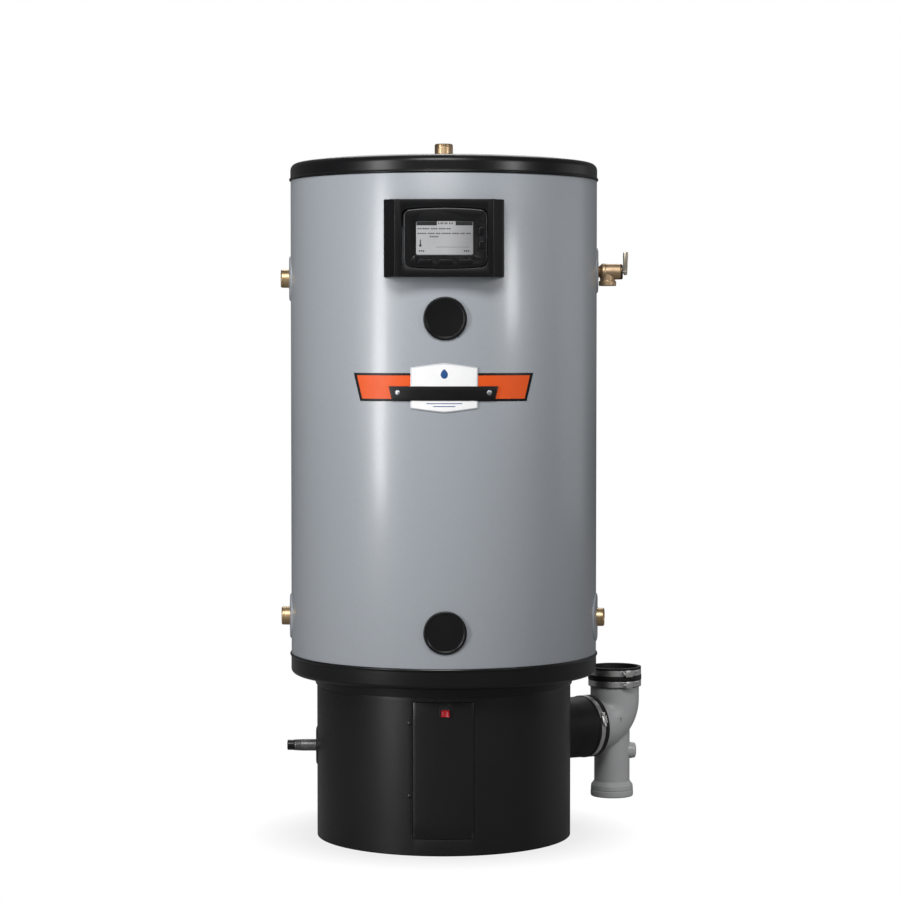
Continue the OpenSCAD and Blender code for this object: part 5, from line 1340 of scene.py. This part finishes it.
def make_rear_fittings():
    """Air intake socket and the bushing for the mains lead."""
    black = [SKINS["black_plastic"]]
    at, r = mount("air_intake_socket")
    azimuth = math.degrees(math.atan2(at.y, at.x))
    low = SKIRT_R - 1.2 * MM
    flange = rosette("flange", azimuth, at.z, SKIRT_R, 25 * MM, 46 * MM, 3 * MM, black)
    socket = turned("socket", [(25 * MM, low, 0), (36 * MM, low, 0), (35.6 * MM, SKIRT_R + 29 * MM, 0.3),
        (36 * MM, SKIRT_R + 29.6 * MM, 0.4), (36 * MM, SKIRT_R + 34 * MM, 1.4), (r, SKIRT_R + 34 * MM, 1.2),
        (r, SKIRT_R + 6 * MM, 0.4), (25 * MM, SKIRT_R + 6 * MM, 0.4)], black, 96, steps=3)
    screws = []
    for k in range(4):
        a = math.radians(45 + 90 * k)
        head = turned("head", mm([(0, 0, 0), (3, 0, 0.2), (2.8, 1.4, 0.7), (0, 1.7, 0)]),
            [SKINS["zinc_steel"]], 24, closed=False)
        u = 40.5 * MM * math.cos(a)
        turn = azimuth + math.degrees(math.asin(u / SKIRT_R))
        screws.append(put(head, outward(turn, at.z + 40.5 * MM * math.sin(a), SKIRT_R + 1.6 * MM)))
    put(socket, outward(azimuth, at.z))
    show(join("intake_socket", [flange, socket] + screws), "heater", "air_intake", "black_plastic")

    at, r = mount("power_entry")
    azimuth = math.degrees(math.atan2(at.y, at.x))
    s = SKIRT_R
    bushing = turned("bushing", [(7 * MM, s - 8 * MM, 0.4), (10.6 * MM, s - 8 * MM, 0.6),
        (10.6 * MM, s + 0.8 * MM, 0), (14 * MM, s + 0.8 * MM, 0.8), (14 * MM, s + 4.8 * MM, 1.2),
        (12 * MM, s + 4.9 * MM, 0.3), (10.8 * MM, s + 7 * MM, 0.4), (10.2 * MM, s + 7.2 * MM, 0.3),
        (10.2 * MM, s + 8 * MM, 0.3), (10.4 * MM, s + 8.2 * MM, 0.3), (9 * MM, s + 10.8 * MM, 0.8),
        (r, s + 10.8 * MM, 0.6), (r, s + 1 * MM, 0.3), (7 * MM, s + 1 * MM, 0.2)], [SKINS["rubber"]], 64,
        steps=3)
    show(put(bushing, outward(azimuth, at.z)), "heater", "cable_bushing", "rubber")


# ------------------------------------------------------------------ studio

def make_studio():
    paper = Surface("studio_floor", (0.26, 0.26, 0.26), 0.8, 0.0, Specular_IOR_Level=0.1)
    paper.tint(paper.remap(paper.noise(1.5, 3), 0.3, 0.7, 0.0, 0.3), (0.24, 0.24, 0.242))
    paper.roughen(paper.noise(8, 3), 0.04)
    floor_mat = paper.done()
    tree = paper.tree
    far = paper.node("ShaderNodeVectorMath", Vector=paper.coords)
    far.operation = "LENGTH"
    fade = paper.remap(far.outputs["Value"], 0.25, 0.36, 0.8, 1.0)
    seen = paper.math("MULTIPLY", fade, tree.nodes.new("ShaderNodeLightPath").outputs["Is Camera Ray"])
    white = paper.node("ShaderNodeEmission", Color=(1, 1, 1, 1), Strength=1.0)
    blend = tree.nodes.new("ShaderNodeMixShader")
    tree.links.new(seen, blend.inputs[0])
    tree.links.new(paper.shader.outputs[0], blend.inputs[1])
    tree.links.new(white.outputs[0], blend.inputs[2])
    tree.links.new(blend.outputs[0], tree.nodes["Material Output"].inputs["Surface"])
    size = 40.0
    floor = from_lists("studio_floor", [(-size, -size, 0), (size, -size, 0), (size, size, 0),
        (-size, size, 0)], [(0, 1, 2, 3)], [floor_mat])

    def softbox(name, azimuth, elevation, distance, width, height, power, aim=0.75):
        light = bpy.data.lights.new(name, "AREA")
        light.shape = "RECTANGLE"
        light.size = width
        light.size_y = height
        light.energy = power
        lamp = bpy.data.objects.new(name, light)
        a, e = math.radians(azimuth), math.radians(elevation)
        target = Vector((0, 0, aim))
        lamp.location = target + distance * Vector((math.cos(a) * math.cos(e), math.sin(a) * math.cos(e),
            math.sin(e)))
        lamp.rotation_euler = (target - lamp.location).to_track_quat("-Z", "Y").to_euler()
        bpy.context.scene.collection.objects.link(lamp)

    softbox("key", FRONT - 46, 6, 3.2, 0.48, 2.3, 67, aim=0.9)
    softbox("rim", FRONT + 50, 6, 3.4, 0.5, 0.7, 24, aim=1.35)
    softbox("side", FRONT + 110, 4, 4.0, 2.4, 2.4, 11)
    softbox("front_fill", FRONT - 4, 40, 5.5, 2.5, 1.5, 222)
    softbox("back", BACK, 42, 4.5, 2.0, 1.6, 50)

    world = bpy.data.worlds.new("studio")
    bpy.context.scene.world = world
    world.use_nodes = True
    tree = world.node_tree
    tree.nodes.clear()
    out = tree.nodes.new("ShaderNodeOutputWorld")
    ambient = tree.nodes.new("ShaderNodeBackground")
    ambient.inputs["Color"].default_value = (0.97, 0.985, 1.0, 1)
    ambient.inputs["Strength"].default_value = 0.14
    backdrop = tree.nodes.new("ShaderNodeBackground")
    backdrop.inputs["Color"].default_value = (1, 1, 1, 1)
    backdrop.inputs["Strength"].default_value = 1.0
    pick = tree.nodes.new("ShaderNodeMixShader")
    path = tree.nodes.new("ShaderNodeLightPath")
    tree.links.new(path.outputs["Is Camera Ray"], pick.inputs[0])
    tree.links.new(ambient.outputs[0], pick.inputs[1])
    tree.links.new(backdrop.outputs[0], pick.inputs[2])
    tree.links.new(pick.outputs[0], out.inputs["Surface"])
    bpy.context.scene.view_settings.view_transform = "Standard"


def make_camera():
    camera = bpy.data.cameras.new("camera")
    camera.lens = 106.75
    camera.sensor_width = 36.0
    holder = bpy.data.objects.new("camera", camera)
    holder.location = (0.0114, -4.90, 0.9051)
    holder.rotation_euler = (math.radians(90 - 2.314), 0, 0)
    bpy.context.scene.collection.objects.link(holder)
    bpy.context.scene.camera = holder


make_camera()
make_studio()
make_jacket()
make_caps()
make_skirt()
make_screws()
make_rosettes()
make_plugs()
make_nipples()
make_nameplate()
make_display()
make_relief()
make_gas()
make_switch()
make_tee()
make_couplings()
make_rear_fittings()
